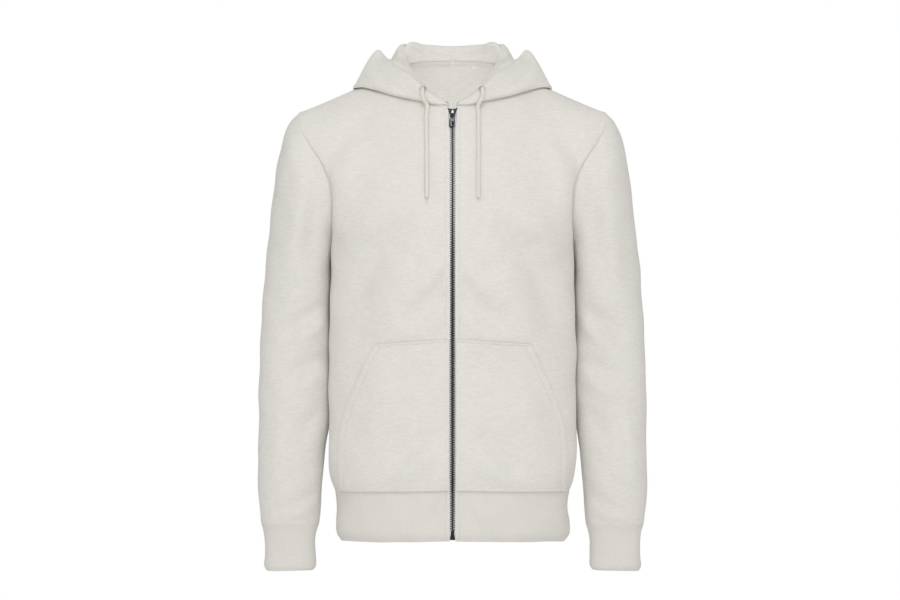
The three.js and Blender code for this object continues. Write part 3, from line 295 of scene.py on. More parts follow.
def armhole_point(angle):
    """The armhole seam on the wearer's left, from the shoulder tip (0) down the front to 180, up the back to 360."""
    angle = np.asarray(angle, float)
    front = angle <= 180
    down = np.where(front, angle, 360 - angle)
    at = ARMHOLE(down)
    z = mix(ARMPIT_Z, TIP_Z, (1 + np.cos(np.radians(down))) / 2)
    middle = mix(SHOULDER_SEAM_Y, BODY_RINGS(ARMPIT_Z)["sideY"], down / 180)
    reach = np.sin(np.radians(down))
    x = np.where(front, at["frontX"], at["backX"])
    y = np.where(front, middle - ARMHOLE_FRONT_REACH * reach, middle + ARMHOLE_BACK_REACH * reach)
    return xyz(x, y, z)


# How square the rings are: 1 is an ellipse, and lower is squarer
BODY_SQUARENESS = 0.74
SLEEVE_SQUARENESS = 0.78
SWELL_POWER = 3


def ring_quarter(centre, edge, swell, across):
    turn = across * np.pi / 2
    return xyz(
        mix(centre[..., 0], edge[..., 0], np.sin(turn)) + swell * np.sin(np.pi * across**SWELL_POWER),
        mix(edge[..., 1], centre[..., 1], np.maximum(np.cos(turn), 0) ** BODY_SQUARENESS),
        mix(centre[..., 2], edge[..., 2], across),
    )


def skirt_point(half, across, z):
    ring = BODY_RINGS(z)
    drop = SIDE_DROP * (ARMPIT_Z - z) / (ARMPIT_Z - HEM_Z)
    centre = xyz(zip_edge_x(z) if half == "front" else 0, ring[half + "Y"], z)
    return ring_quarter(centre, xyz(ring["sideX"], ring["sideY"], z - drop), ring[half + "Swell"], across)


def yoke_base(half, across, rise):
    ring = YOKE_RINGS(rise)
    angle = 180 * (1 - rise)
    centre = xyz(zip_edge_x(ring["frontZ"]) if half == "front" else 0, ring[half + "Y"], ring[half + "Z"])
    edge = armhole_point(angle if half == "front" else 360 - angle)
    return ring_quarter(centre, edge, ring[half + "Swell"], across)


def top_edge(half, across):
    """The neckline over the neck's columns, then the shoulder seam."""
    turns = np.array(FRONT_NECK_TURNS if half == "front" else BACK_NECK_TURNS, float)
    neck_columns = len(turns) - 1
    column = across * (neck_columns + SHOULDER_COLUMNS)
    on_neck = neckline_point(np.interp(column, np.arange(len(turns)), turns))
    along = np.clip((column - neck_columns) / SHOULDER_COLUMNS, 0, 1)
    neck = neckline_point(SHOULDER_TURN)
    on_shoulder = xyz(
        mix(neck[0], TIP_X, along),
        mix(neck[1], SHOULDER_SEAM_Y, along),
        mix(neck[2], TIP_Z, along) + SHOULDER_RISE * np.sin(np.pi * along),
    )
    return np.where((column <= neck_columns)[..., None], on_neck, on_shoulder)


def gap_to_top(half, across):
    """How far the top of the rings lies from the panel's real top edge."""
    return top_edge(half, across) - yoke_base(half, across, np.ones_like(across))


GAP_STATIONS = np.linspace(0, 1, 261)
GAP_WINDOW = 80
GAP_SPREAD = 0.09
GAP_TIE = 0.18


def soft_gaps(half):
    """The same gap with the corner between neck and shoulder smoothed away, for the cloth below that corner."""
    gap = gap_to_top(half, GAP_STATIONS)
    reflected = np.concatenate([gap[::-1], gap, gap[::-1]])
    offsets = np.arange(-GAP_WINDOW, GAP_WINDOW + 1) * (GAP_STATIONS[1] - GAP_STATIONS[0])
    weights = np.exp(-((offsets / GAP_SPREAD) ** 2))
    weights /= weights.sum()
    count = len(GAP_STATIONS)
    smooth = [np.convolve(reflected[:, k], weights, "same")[count:2 * count] for k in range(3)]
    return mix(gap, np.stack(smooth, axis=-1), fade(np.minimum(GAP_STATIONS, 1 - GAP_STATIONS), GAP_TIE)[:, None])


SOFT_GAPS = {half: soft_gaps(half) for half in ("front", "back")}
TOP_FADE = 7


def body_point(half, across, level):
    """A point of the body's outer face on the wearer's left. level: hem seam 0, armpit 1, top edge 2."""
    across, level = np.broadcast_arrays(np.asarray(across, float), np.asarray(level, float))
    low = skirt_point(half, across, mix(HEM_SEAM_Z, ARMPIT_Z, np.clip(level, 0, 1)))
    rise = np.clip(level - 1, 0, 1)[..., None]
    high = yoke_base(half, across, rise[..., 0])
    gap = gap_to_top(half, across)
    soft = read_off(across, GAP_STATIONS, SOFT_GAPS[half])
    high = high + soft * rise**2 + (gap - soft) * rise**TOP_FADE
    return np.where((level <= 1)[..., None], low, high)


def arm_point(rings, run, angle):
    at = rings(run)
    along = np.cos(np.radians(angle)) / 2
    deep = np.sin(np.radians(angle))
    deep = np.sign(deep) * np.abs(deep) ** SLEEVE_SQUARENESS
    return xyz(
        (at["outerX"] + at["innerX"]) / 2 + along * (at["outerX"] - at["innerX"]),
        at["midY"] - deep * at["halfDepth"],
        (at["outerZ"] + at["innerZ"]) / 2 + along * (at["outerZ"] - at["innerZ"]),
    )


def sleeve_point(run, angle):
    keep = np.maximum(0, 1 - run / ARMHOLE_FADE_RUN) ** 2
    gap = armhole_point(angle) - arm_point(SLEEVE_RINGS, np.zeros_like(run), angle)
    return arm_point(SLEEVE_RINGS, run, angle) + gap * keep[..., None]


SHORTEST_CHORD = 1e-4


def curve_between(p0, p1, p2, p3, w):
    """A centripetal curve's place at w, from p1 (0) to p2 (1)."""
    d0, d1, d2 = (np.maximum(np.sqrt(np.linalg.norm(b - a, axis=-1, keepdims=True)), SHORTEST_CHORD)
                  for a, b in ((p0, p1), (p1, p2), (p2, p3)))
    m1 = ((p1 - p0) / d0 - (p2 - p0) / (d0 + d1) + (p2 - p1) / d1) * d1
    m2 = ((p2 - p1) / d1 - (p3 - p1) / (d1 + d2) + (p3 - p2) / d2) * d1
    return p1 + m1 * w + (3 * (p2 - p1) - 2 * m1 - m2) * w**2 + (2 * (p1 - p2) + m1 + m2) * w**3


def hood_point(turn, share):
    """A point of the hood: share runs along the cloth from the neck seam (0) to the rim (1)."""
    turn, share = np.broadcast_arrays(np.asarray(turn, float), np.asarray(share, float))
    at = [line(turn) for line in HOOD_LINES]
    places = np.stack([np.stack([a["reach"], a["z"]], axis=-1) for a in at], axis=-2)
    first = 2 * places[..., :1, :] - places[..., 1:2, :]
    last = 2 * places[..., -1:, :] - places[..., -2:-1, :]
    places = np.concatenate([first, places, last], axis=-2)
    run = share * (len(HOOD_LINES) - 1)
    i = np.clip(np.floor(run).astype(int), 0, len(HOOD_LINES) - 2)
    w = (run - i)[..., None]

    def corner(k):
        return np.take_along_axis(places, (i + k)[..., None, None], axis=-2)[..., 0, :]

    at = curve_between(*(corner(k) for k in range(4)), w)
    return round_neck(turn, at[..., 0], at[..., 1])


HALVINGS = 24
PLACE_ROUNDS = 6
FARTHEST_ACROSS = 0.9
SLOPE_STEP = 0.004
SLOPE_TURN = 1.0


def halve(low, high, is_below, shape):
    """The values, between low and high, where a rising test stops being below."""
    a, b = np.full(shape, float(low)), np.full(shape, float(high))
    for _ in range(HALVINGS):
        middle = (a + b) / 2
        below = is_below(middle)
        a, b = np.where(below, middle, a), np.where(below, b, middle)
    return (a + b) / 2


def front_place(x, z):
    """Where on the front panel a distance from the centre and a height lie: across and level."""
    x, z = np.broadcast_arrays(np.asarray(x, float), np.asarray(z, float))
    across = level = np.zeros(x.shape)
    for _ in range(PLACE_ROUNDS):
        level = halve(0, 2, lambda v: body_point("front", across, v)[..., 2] < z, x.shape)
        across = halve(0, FARTHEST_ACROSS, lambda v: body_point("front", v, level)[..., 0] < x, x.shape)
    return across, level


def normal_of(make, a, b, step_a, step_b):
    """The unit normal of a surface make(a, b), by small steps to both sides."""
    return unit(np.cross(make(a + step_a, b) - make(a - step_a, b), make(a, b + step_b) - make(a, b - step_b)))


def front_surface(x, z):
    """The front panel's point and outward normal at a distance from the centre and a height."""
    place = front_place(x, z)
    normal = normal_of(lambda a, b: body_point("front", np.maximum(a, 0), b), *place, SLOPE_STEP, SLOPE_STEP)
    return body_point("front", *place), np.where(normal[..., 1:2] > 0, -normal, normal)

# Creases and swellings of the cloth, placed on the wearer's left, each along a line seen from the front or
# the back: its side, how far it fades on its left and right, its height (a trough's is negative), and its x, z points.
# The wearer's right has the same lines, a little shifted and lower.
CREASES = [
    # the chest's fold from beside the zip down to the side, and the light ridge below it
    ("front", 20, 30, -4.6, [(52, -238), (84, -252), (114, -280), (138, -322), (154, -376)]),
    ("front", 24, 24, 3.4, [(58, -292), (76, -326), (98, -372), (118, -412)]),
    ("front", 20, 24, 3.0, [(70, -206), (104, -222), (134, -252), (156, -296)]),
    # the fold above the pocket, from the zip down to the side
    ("front", 13, 18, -3.6, [(12, -312), (26, -346), (52, -374), (90, -388)]),
    ("front", 15, 15, 2.6, [(12, -352), (34, -384), (70, -398), (100, -396)]),
    ("front", 10, 12, 2.2, [(14, -292), (34, -318), (50, -344)]),
    # the pocket's soft diagonals
    ("front", 12, 16, -3.0, [(36, -538), (56, -558), (80, -582), (104, -604)]),
    ("front", 12, 14, 2.4, [(20, -566), (46, -588), (78, -608), (110, -616)]),
    ("front", 13, 13, -1.6, [(24, -418), (44, -448), (66, -476)]),
    ("front", 14, 18, 1.7, [(96, -452), (112, -500), (128, -556)]),
    # the band's ripple beside the zip
    ("front", 8, 11, -1.8, [(12, -640), (24, -664), (40, -690)]),
    ("front", 9, 12, 1.4, [(30, -634), (48, -660), (60, -688)]),
    # the shoulder and the armhole
    ("front", 12, 18, -1.8, [(150, -98), (180, -128), (196, -160)]),
    ("front", 13, 18, 1.8, [(132, -112), (160, -150), (172, -196)]),
    # the sleeve
    ("front", 12, 18, 2.6, [(222, -150), (230, -210), (238, -280), (244, -340)]),
    ("front", 12, 16, -2.6, [(206, -170), (212, -232), (218, -300)]),
    ("front", 9, 14, -3.6, [(188, -352), (208, -366), (232, -384), (258, -410)]),
    ("front", 11, 11, 2.6, [(190, -376), (212, -396), (240, -420)]),
    ("front", 9, 13, -3.0, [(184, -434), (206, -440), (230, -452), (252, -470)]),
    ("front", 11, 13, 2.2, [(188, -458), (214, -470), (240, -492)]),
    ("front", 10, 14, -2.0, [(196, -512), (218, -530), (232, -570)]),
    ("front", 12, 14, 2.0, [(256, -500), (264, -560), (266, -630)]),
    ("front", 9, 12, -2.4, [(206, -634), (226, -650), (252, -662), (276, -664)]),
    ("front", 9, 12, 2.0, [(210, -654), (236, -668), (268, -672)]),
    # the back
    ("back", 22, 30, -4.4, [(30, -196), (74, -220), (116, -262), (146, -318)]),
    ("back", 24, 26, 3.4, [(40, -246), (80, -284), (118, -340)]),
    ("back", 18, 26, -3.8, [(0, -432), (52, -420), (104, -438), (150, -476)]),
    ("back", 20, 22, 3.0, [(0, -468), (56, -462), (110, -480), (152, -512)]),
    ("back", 16, 22, -3.2, [(18, -556), (64, -532), (112, -540), (156, -566)]),
    ("back", 16, 20, 2.6, [(10, -592), (60, -574), (116, -584)]),
    ("back", 12, 16, -2.2, [(150, -108), (180, -142), (194, -186)]),
    ("back", 12, 18, 2.4, [(216, -160), (228, -230), (238, -300)]),
    ("back", 10, 15, -3.4, [(190, -380), (214, -372), (240, -380), (268, -402)]),
    ("back", 11, 13, 2.6, [(188, -408), (214, -402), (244, -414)]),
    ("back", 10, 14, -2.8, [(186, -462), (212, -452), (240, -462), (266, -486)]),
    ("back", 12, 14, 2.0, [(252, -520), (262, -580), (262, -640)]),
    ("back", 9, 12, -2.2, [(208, -646), (232, -658), (262, -662)]),
]
# The right side's lines: how far they are moved (mm) and what share of their height they keep
RIGHT_SHIFT = (-4.0, 5.0)
RIGHT_KEEP = {"front": 0.92, "back": 0.78}
CREASE_STRENGTH = 2.1
FACING_GAIN = 1.6
CENTRE_OVERLAP = 4
OFF_THE_SIDE = 1e4
FAR = 1e9
END_POWER = 0.6
END_MARGIN = 0.02


def line_form(x, z, line, reach_a, reach_b):
    """1 on a line and softly down to 0 away from it and towards its ends."""
    starts = run_along(line)
    best = np.full(x.shape, FAR)
    signed, along = np.zeros(x.shape), np.zeros(x.shape)
    for k, length in enumerate(np.diff(starts)):
        d = (line[k + 1] - line[k]) / length
        px, pz = x - line[k][0], z - line[k][1]
        t = np.clip(px * d[0] + pz * d[1], 0, length)
        far = np.hypot(px - t * d[0], pz - t * d[1])
        nearer = far < best
        best = np.where(nearer, far, best)
        signed = np.where(nearer, px * d[1] - pz * d[0], signed)
        along = np.where(nearer, (starts[k] + t) / starts[-1], along)
    end = np.clip(np.sin(np.pi * np.clip(along, END_MARGIN, 1 - END_MARGIN)), 0, 1) ** END_POWER
    return np.exp(-((best / np.where(signed > 0, reach_a, reach_b)) ** 2)) * end


def crease_height(at, normal):
    """How far the listed creases move each point out along its normal."""
    x, z = at[..., 0], at[..., 2]
    total = np.zeros(x.shape)
    facing = {half: np.clip(way * normal[..., 1] * FACING_GAIN, 0, 1) for half, way in (("front", -1), ("back", 1))}
    for half, reach_a, reach_b, height, points in CREASES:
        line = np.array(points, float)
        left = np.where(x > -CENTRE_OVERLAP if half == "back" else x >= 0, x, OFF_THE_SIDE)
        right = np.where(x > CENTRE_OVERLAP, OFF_THE_SIDE, -x)
        for across, moved, keep in ((left, line, 1.0), (right, line + RIGHT_SHIFT, RIGHT_KEEP[half])):
            total += keep * height * facing[half] * line_form(across, z, moved, reach_a, reach_b)
    return CREASE_STRENGTH * total


# Long low waves that keep wide areas from looking pressed: wavelengths in mm, height and phase
WAVES = [
    ((95, 140, 160), 0.5, 0.4),
    ((-150, 80, 120), 0.45, 2.1),
    ((60, -110, 74), 0.28, 4.2),
    ((210, 90, -66), 0.34, 1.3),
]


def wave_height(at):
    total = np.zeros(at.shape[:-1])
    for lengths, height, phase in WAVES:
        total += height * np.sin(2 * np.pi * (at / np.array(lengths, float)).sum(axis=-1) + phase)
    return total


def grid_normals(points, tube=False):
    """Unit normals of a grid of points, rows by columns."""
    if tube:
        d_col = np.roll(points, -1, axis=1) - np.roll(points, 1, axis=1)
    else:
        d_col = np.gradient(points, axis=1)
    return unit(np.cross(d_col, np.gradient(points, axis=0)))


BORDER_FADE = 14.0
BORDERS = (("r", 0, False), ("R", 0, True), ("c", 1, False), ("C", 1, True))


def creased(points, borders, tube=False):
    """The grid with its creases and waves, which end at the named borders: r first row, R last, c and C columns."""
    normal = grid_normals(points, tube)
    height = crease_height(points, normal) + wave_height(points)
    for name, axis, from_end in BORDERS:
        if name in borders:
            height = height * fade(border_distance(points, axis, from_end), BORDER_FADE)
    return points + normal * height[..., None]


CLOSE_STEPS = np.array([0, 0.5, 1.1, 1.8, 2.6, 3.6, 5.0])
STITCH_STEPS = np.concatenate([-CLOSE_STEPS[:5], CLOSE_STEPS[1:5]])
CLEAR_OF_SPOT = 0.05
CLOSEST = 0.3


def stations(length, step, lines=(), ends=(True, True)):
    """Distances from 0 to length, a step apart, and close together at the ends and at stitched lines."""
    values = list(np.linspace(0, length, max(2, int(round(length / step)) + 1)))
    spots = [(0, CLOSE_STEPS)] if ends[0] else []
    spots += [(length, -CLOSE_STEPS)] if ends[1] else []
    spots += [(at, STITCH_STEPS) for at in lines]
    for at, offsets in spots:
        low, high = at + offsets.min() + CLEAR_OF_SPOT, at + offsets.max() - CLEAR_OF_SPOT
        values = [v for v in values if not low < v < high] + list(at + offsets)
    values = np.clip(np.array(sorted(values)), 0, length)
    keep = [values[0]]
    for v in values[1:-1]:
        if v - keep[-1] > CLOSEST and values[-1] - v > CLOSEST:
            keep.append(v)
    return np.array([*keep, values[-1]])


LENGTH_SAMPLES = 400


def by_length(make, low, high, step, lines=(), ends=(True, True)):
    """Parameter values along make(t) that lie at the stations of its real length."""
    t = np.linspace(low, high, LENGTH_SAMPLES)
    along = run_along(make(t))
    return np.interp(stations(along[-1], step, lines, ends), along, t)


def border_distance(points, axis, from_end=False):
    """How far each point of a grid lies from its first (or last) row or column, along the cloth."""
    lengths = np.linalg.norm(np.diff(points, axis=axis), axis=-1)
    zero = np.zeros_like(np.take(lengths, [0], axis=axis))
    along = np.concatenate([zero, np.cumsum(lengths, axis=axis)], axis=axis)
    return np.take(along, [-1], axis=axis) - along if from_end else along


SEAM_DIP = 0.45
SEAM_REACH = 1.3
STITCH_DIP = 0.8
STITCH_REACH = 0.9
SEAM_RAISE = 1.2


def seam_dip(distance):
    return -SEAM_DIP * np.exp(-distance / SEAM_REACH)


def stitch_dip(distance, at):
    return -STITCH_DIP * np.exp(-(((distance - at) / STITCH_REACH) ** 2))


def make_mesh(name, vertices, faces, uvs=None, smooth=True):
    """A mesh object from millimetre points. uvs holds one pair for each vertex, in metres."""
    mesh = bpy.data.meshes.new(name)
    mesh.from_pydata((np.asarray(vertices) * MM).tolist(), [], [tuple(int(i) for i in f) for f in faces])
    if uvs is not None:
        layer = mesh.uv_layers.new(name="UVMap")
        loops = np.zeros(len(mesh.loops), int)
        mesh.loops.foreach_get("vertex_index", loops)
        layer.data.foreach_set("uv", np.asarray(uvs, float)[loops].ravel())
    mesh.polygons.foreach_set("use_smooth", np.full(len(mesh.polygons), smooth))
    mesh.update()
    made = bpy.data.objects.new(name, mesh)
    bpy.context.scene.collection.objects.link(made)
    return made


def ring_faces(index, closed, turned=False):
    """Quads between the rows of a grid of vertex numbers. Where it is closed, its last column joins its first."""
    wide = np.concatenate([index, index[:, :1]], axis=1) if closed else index
    corners = [wide[:-1, :-1], wide[:-1, 1:], wide[1:, 1:], wide[1:, :-1]]
    if turned:
        corners = [corners[k] for k in (0, 3, 2, 1)]
    return list(zip(*(corner.ravel() for corner in corners)))


EDGE_TURNS = np.radians([30, 60, 90, 120, 150])


def wall(name, outer, thickness, tube=False):
    """A closed thin sheet from a grid of outer points, with a rounded edge all round, and UVs in metres."""
    rows, columns = outer.shape[:2]
    normal = grid_normals(outer, tube)
    inner = outer - normal * thickness
    u = border_distance(outer, 1)
    u = (u - u[:, -1:] / 2) * MM
    v = border_distance(outer, 0) * MM
    uv = np.stack([u, v], axis=-1)
    vertices = [outer.reshape(-1, 3), inner.reshape(-1, 3)]
    uvs = [uv.reshape(-1, 2)] * 2
    count = rows * columns
    index = np.arange(count).reshape(rows, columns)
    faces = ring_faces(index, tube) + ring_faces(count + index, tube, True)

    past = np.zeros_like(outer)
    past[0] += unit(outer[0] - outer[1])
    past[-1] += unit(outer[-1] - outer[-2])
    if tube:
        loops = [index[0], index[-1][::-1]]
    else:
        past[:, 0] += unit(outer[:, 0] - outer[:, 1])
        past[:, -1] += unit(outer[:, -1] - outer[:, -2])
        loops = [np.concatenate([index[0, :-1], index[:-1, -1], index[-1, :0:-1], index[:0:-1, 0]])]
    flat_outer, flat_normal, flat_past = (part.reshape(-1, 3) for part in (outer, normal, unit(past)))
    for loop in loops:
        middle = flat_outer[loop] - flat_normal[loop] * thickness / 2
        rings = [loop]
        for turn in EDGE_TURNS:
            ring = middle + flat_normal[loop] * math.cos(turn) * thickness / 2
            rings.append(sum(len(part) for part in vertices) + np.arange(len(loop)))
            vertices.append(ring + flat_past[loop] * math.sin(turn) * thickness / 2)
            uvs.append(uvs[0][loop])
        faces += ring_faces(np.stack([*rings, count + loop]), True, True)
    return make_mesh(name, np.concatenate(vertices), faces, np.concatenate(uvs))


def mirrored_grid(points):
    """The same cloth on the wearer's right, with its columns turned round so that it still faces out."""
    return points[:, ::-1] * MIRROR


# The camera stands where the photograph's did: level, in front, so far off that little perspective is left
CAMERA_X = -0.00375
CAMERA_Y = -5.0
CAMERA_Z = -0.345
FRAME_WIDTH = 1.35

camera = bpy.data.objects.new("camera", bpy.data.cameras.new("camera"))
camera.location = (CAMERA_X, CAMERA_Y, CAMERA_Z)
camera.rotation_euler = (math.pi / 2, 0, 0)
camera.data.sensor_width = 36
camera.data.lens = 36 * -CAMERA_Y / FRAME_WIDTH
bpy.context.scene.collection.objects.link(camera)
bpy.context.scene.camera = camera
bpy.context.scene.view_settings.view_transform = "Standard"


def hood_place(turn, share):
    at = hood_point(turn, share)
    return at, normal_of(hood_point, np.float64(turn), np.float64(share), SLOPE_TURN, SLOPE_STEP)


def cord_route():
    """The drawcord's points on the wearer's left: out of the eyelet, over the hood's edge and down the chest."""
    eyelet, out = hood_place(EYELET_TURN, EYELET_SHARE)
    points = [eyelet + out * distance for distance in CORD_EXIT]
    rests = [(*hood_place(turn, share), lift) for turn, share, lift in CORD_RESTS]
    rests += [(*front_surface(x, z), CORD_LIFT) for x, z in CORD_HANGS]
    return np.array(points + [at + normal * (CORD_RADIUS + lift) for at, normal, lift in rests])


def smooth_path(points, count):
    """A centripetal curve through points, at evenly spaced places, and its length."""
    ends = np.concatenate([[2 * points[0] - points[1]], points, [2 * points[-1] - points[-2]]])
    steps = np.linspace(0, 1, 30, endpoint=False)[:, None]
    out = np.concatenate([*(curve_between(*ends[i:i + 4], steps) for i in range(len(points) - 1)), points[-1:]])
    along = run_along(out)
    return read_off(np.linspace(0, along[-1], count), along, out), along[-1]


def tube_mesh(name, path, radii, sides):
    """A closed tube round a path, with a radius for each of its points. UVs: round it and along it, in metres."""
    tangent = unit(np.gradient(path, axis=0))
    side = unit(np.cross(tangent[0], [1, 0, 0.2]))
    rings, uvs = [], []
    along = run_along(path)
    angles = np.linspace(0, 2 * np.pi, sides, endpoint=False)
    for at, direction, radius, run in zip(path, tangent, radii, along):
        side = unit(side - direction * np.dot(side, direction))
        other = np.cross(direction, side)
        rings.append(at + radius * (np.cos(angles)[:, None] * side + np.sin(angles)[:, None] * other))
        uvs.append(np.stack([angles / (2 * np.pi), np.full(sides, run * MM)], axis=-1))
    vertices = np.concatenate([*rings, path[:1], path[-1:]])
    index = np.arange(len(path) * sides).reshape(len(path), sides)
    first, last = len(vertices) - 2, len(vertices) - 1
    faces = ring_faces(index, True)
    faces += [(first, b, a) for a, b in zip(index[0], np.roll(index[0], -1))]
    faces += [(last, a, b) for a, b in zip(index[-1], np.roll(index[-1], -1))]
    uvs = np.concatenate([*uvs, [[0, 0], [0, along[-1] * MM]]])
    return make_mesh(name, vertices, faces, uvs)


CORD_POINTS = 90
CORD_SIDES = 20
cord_points, cord_length = smooth_path(cord_route(), CORD_POINTS)
to_end = np.linspace(cord_length, 0, CORD_POINTS)
cord_radii = CORD_RADIUS * np.sqrt(np.clip(1 - (1 - np.clip(to_end / CORD_RADIUS, 0, 1)) ** 2, 0.02, 1))
for side_name, side in SIDES:
    route = cord_points * np.array([side, 1, 1])
    cord_piece = tube_mesh("braided_cord_" + side_name, route, cord_radii, CORD_SIDES)
    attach(cord_piece, "garment")
    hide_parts("drawcord_" + side_name)
    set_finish(cord_piece, "cord")


# The flat cut of what shows of each sheet, in metres: width, length and, where it isn't a rectangle, the area
SLEEVE_CUT = (0.44, 0.62, 0.176)
CUFF_CUT = (0.214, 0.0705)

# Stitched lines, by their distance from a panel's edge
ZIP_STITCH = 5.4
HEM_STITCH = 3.2
ARMHOLE_STITCH = 7.0
NECK_STITCH = 3.5
POCKET_TOP_STITCH = 3.2
POCKET_OPENING_STITCH = 10.5
CASING_STITCH = 26.0

# How far apart the grids' rows and columns lie on the cloth, and the lines that this is measured along
BODY_STEP = 4.2
YOKE_STEP = 4.0
FRONT_STEP = 3.6
BACK_STEP = 3.8
SLEEVE_STEP = 4.4
CUFF_STEP = 3.4
ARM_COLUMNS = 120
ARM_LINE = 60.0
BODY_LINE = 0.35
BAND_LINE = 0.3
CHEST_LEVEL = 0.9

ARMPIT_SOFTEN = 24.0
ARMPIT_REACH = 48.0
SIDE_KEEP = 34


def body_levels(half):
    def up_the_body(t):
        return body_point(half, np.full_like(t, BODY_LINE), t)

    low = by_length(up_the_body, 0, 1, BODY_STEP, (HEM_STITCH,), (True, False))
    return np.concatenate([low[:-1], by_length(up_the_body, 1, 2, YOKE_STEP, (), (False, True))])


def body_grid(half, step, lines, ends):
    """A body panel's grid, with its bend at the armpit's height rounded off and its side seam left as it is."""
    across = by_length(lambda t: body_point(half, t, np.full_like(t, CHEST_LEVEL)), 0, 1, step, lines, ends)
    points = grid_of(lambda r, c: body_point(half, c, r), body_levels(half), across)
    middle = points.shape[1] // 2
    run = border_distance(points, 0)[:, middle]
    weights = np.exp(-(((run[:, None] - run[None]) / ARMPIT_SOFTEN) ** 2)) * np.gradient(run)[None]
    weights /= weights.sum(axis=1, keepdims=True)
    smooth = np.einsum("ij,jkl->ikl", weights, points)
    level = np.interp(ARMPIT_Z, points[:, middle, 2], run)
    share = np.exp(-(((run - level) / ARMPIT_REACH) ** 2))[:, None]
    return mix(points, smooth, (share * fade(border_distance(points, 1, True), SIDE_KEEP))[..., None])


def both_sides(left):
    """A grid from the centre outwards, with its mirror image joined on at the centre."""
    return np.concatenate([left[:, ::-1], left[:, 1:] * MIRROR], axis=1)


def sewn(points, dips, tube=False):
    """Moves a grid's outer points in along its seams and stitched lines."""
    return points + grid_normals(points, tube) * dips[..., None]


ARMHOLE_RAISE_RUN = 30
ARMHOLE_RAISE_REACH = 3


def front_dips(points):
    """How far the front's seams and stitches draw it in, with the raised double cloth beside the armhole."""
    side = border_distance(points, 1, True)
    foot = border_distance(points, 0)
    top = border_distance(points, 0, True)
    dips = seam_dip(side) + seam_dip(foot) + seam_dip(top) + stitch_dip(border_distance(points, 1), ZIP_STITCH)
    dips = dips + stitch_dip(foot, HEM_STITCH) + stitch_dip(top, NECK_STITCH)
    raised = SEAM_RAISE * np.exp(-(((side - ARMHOLE_STITCH / 2) / ARMHOLE_RAISE_REACH) ** 2))
    return dips + fade(points[..., 2] - ARMPIT_Z, ARMHOLE_RAISE_RUN) * raised


def drawn_in(points, tube=False):
    """Draws a grid's borders back a little, so that sewn panels don't share their edge."""
    out = points.copy()
    out[0] += unit(points[1] - points[0]) * SEAM_GAP
    out[-1] += unit(points[-2] - points[-1]) * SEAM_GAP
    if not tube:
        out[:, 0] += unit(points[:, 1] - points[:, 0]) * SEAM_GAP
        out[:, -1] += unit(points[:, -2] - points[:, -1]) * SEAM_GAP
    return out


shapes = {}


def add_cloth(name, points, thickness, node, slot, tube=False):
    """One sheet of cloth: it hides the solid node that it stands for and takes its finish's slot."""
    shapes[name] = points
    made = wall(name, points, thickness, tube)
    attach(made, "garment")
    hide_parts(node)
    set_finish(made, slot)
    return made


front_base = body_grid("front", FRONT_STEP, (ZIP_STITCH,), (True, True))
dips = front_dips(front_base)
for side_name, side in SIDES:
    base = front_base if side > 0 else mirrored_grid(front_base)
    shaped = drawn_in(sewn(creased(base, "RcC"), dips[:, ::side]))
    add_cloth("front_panel_" + side_name, shaped, FLEECE, "front_" + side_name, "fleece")

back_base = both_sides(body_grid("back", BACK_STEP, (), (False, True)))
dips = sum(seam_dip(border_distance(back_base, axis, end)) for axis in (0, 1) for end in (False, True))
dips = dips + stitch_dip(border_distance(back_base, 0), HEM_STITCH)
add_cloth("back_panel", drawn_in(sewn(creased(back_base, "RcC"), dips)), FLEECE, "back", "fleece")


# The hem band, the sleeves and the cuffs
def hem_band_grid():
    """The band from the wearer's left front edge round the back to the right one."""
    heights = by_length(lambda t: skirt_point("front", np.full_like(t, BAND_LINE), t), HEM_Z, HEM_SEAM_Z, FRONT_STEP)
    parts = []
    for half, stitched, order in (("front", (ZIP_STITCH,), 1), ("back", (), -1)):
        columns = by_length(lambda t: body_point(half, t, np.zeros_like(t)), 0, 1, FRONT_STEP, stitched,
                            (half == "front", False))
        parts.append(grid_of(lambda r, c: skirt_point(half, c, r), heights, columns[::order]))
    left = np.concatenate([parts[0], parts[1][:, 1:]], axis=1)
    return np.concatenate([left, (left[:, ::-1] * MIRROR)[:, 1:]], axis=1)


hem_base = hem_band_grid()
dips = seam_dip(border_distance(hem_base, 0, True))
for from_end in (False, True):
    dips = dips + stitch_dip(border_distance(hem_base, 1, from_end), ZIP_STITCH)
add_cloth("hem_rib", drawn_in(sewn(creased(hem_base, "cC"), dips)), DOUBLED_RIB, "hem_band", "rib")


def arm_grid(point, step):
    runs = by_length(lambda t: point(t, np.full_like(t, ARM_LINE)), 0, 1, step)
    return grid_of(point, runs, np.linspace(0, 360, ARM_COLUMNS, endpoint=False))


sleeve_base = arm_grid(sleeve_point, SLEEVE_STEP)
sleeve_dips = seam_dip(border_distance(sleeve_base, 0)) + seam_dip(border_distance(sleeve_base, 0, True))
cuff_base = arm_grid(lambda r, a: arm_point(CUFF_RINGS, r, a), CUFF_STEP)
cuff_dips = seam_dip(border_distance(cuff_base, 0))
ARM_CLOTHS = [
    ("sleeve_panel_", "sleeve_", sleeve_base, sleeve_dips, "rR", FLEECE, "fleece", SLEEVE_CUT),
    ("cuff_rib_", "cuff_", cuff_base, cuff_dips, "r", DOUBLED_RIB, "rib", CUFF_CUT),
]
for side_name, side in SIDES:
    for name, node, base, dips, borders, thickness, slot, cut in ARM_CLOTHS:
        base = base if side > 0 else mirrored_grid(base)
        shaped = drawn_in(sewn(creased(base, borders, True), dips[:, ::side], True), True)
        add_cloth(name + side_name, shaped, thickness, node + side_name, slot, True)


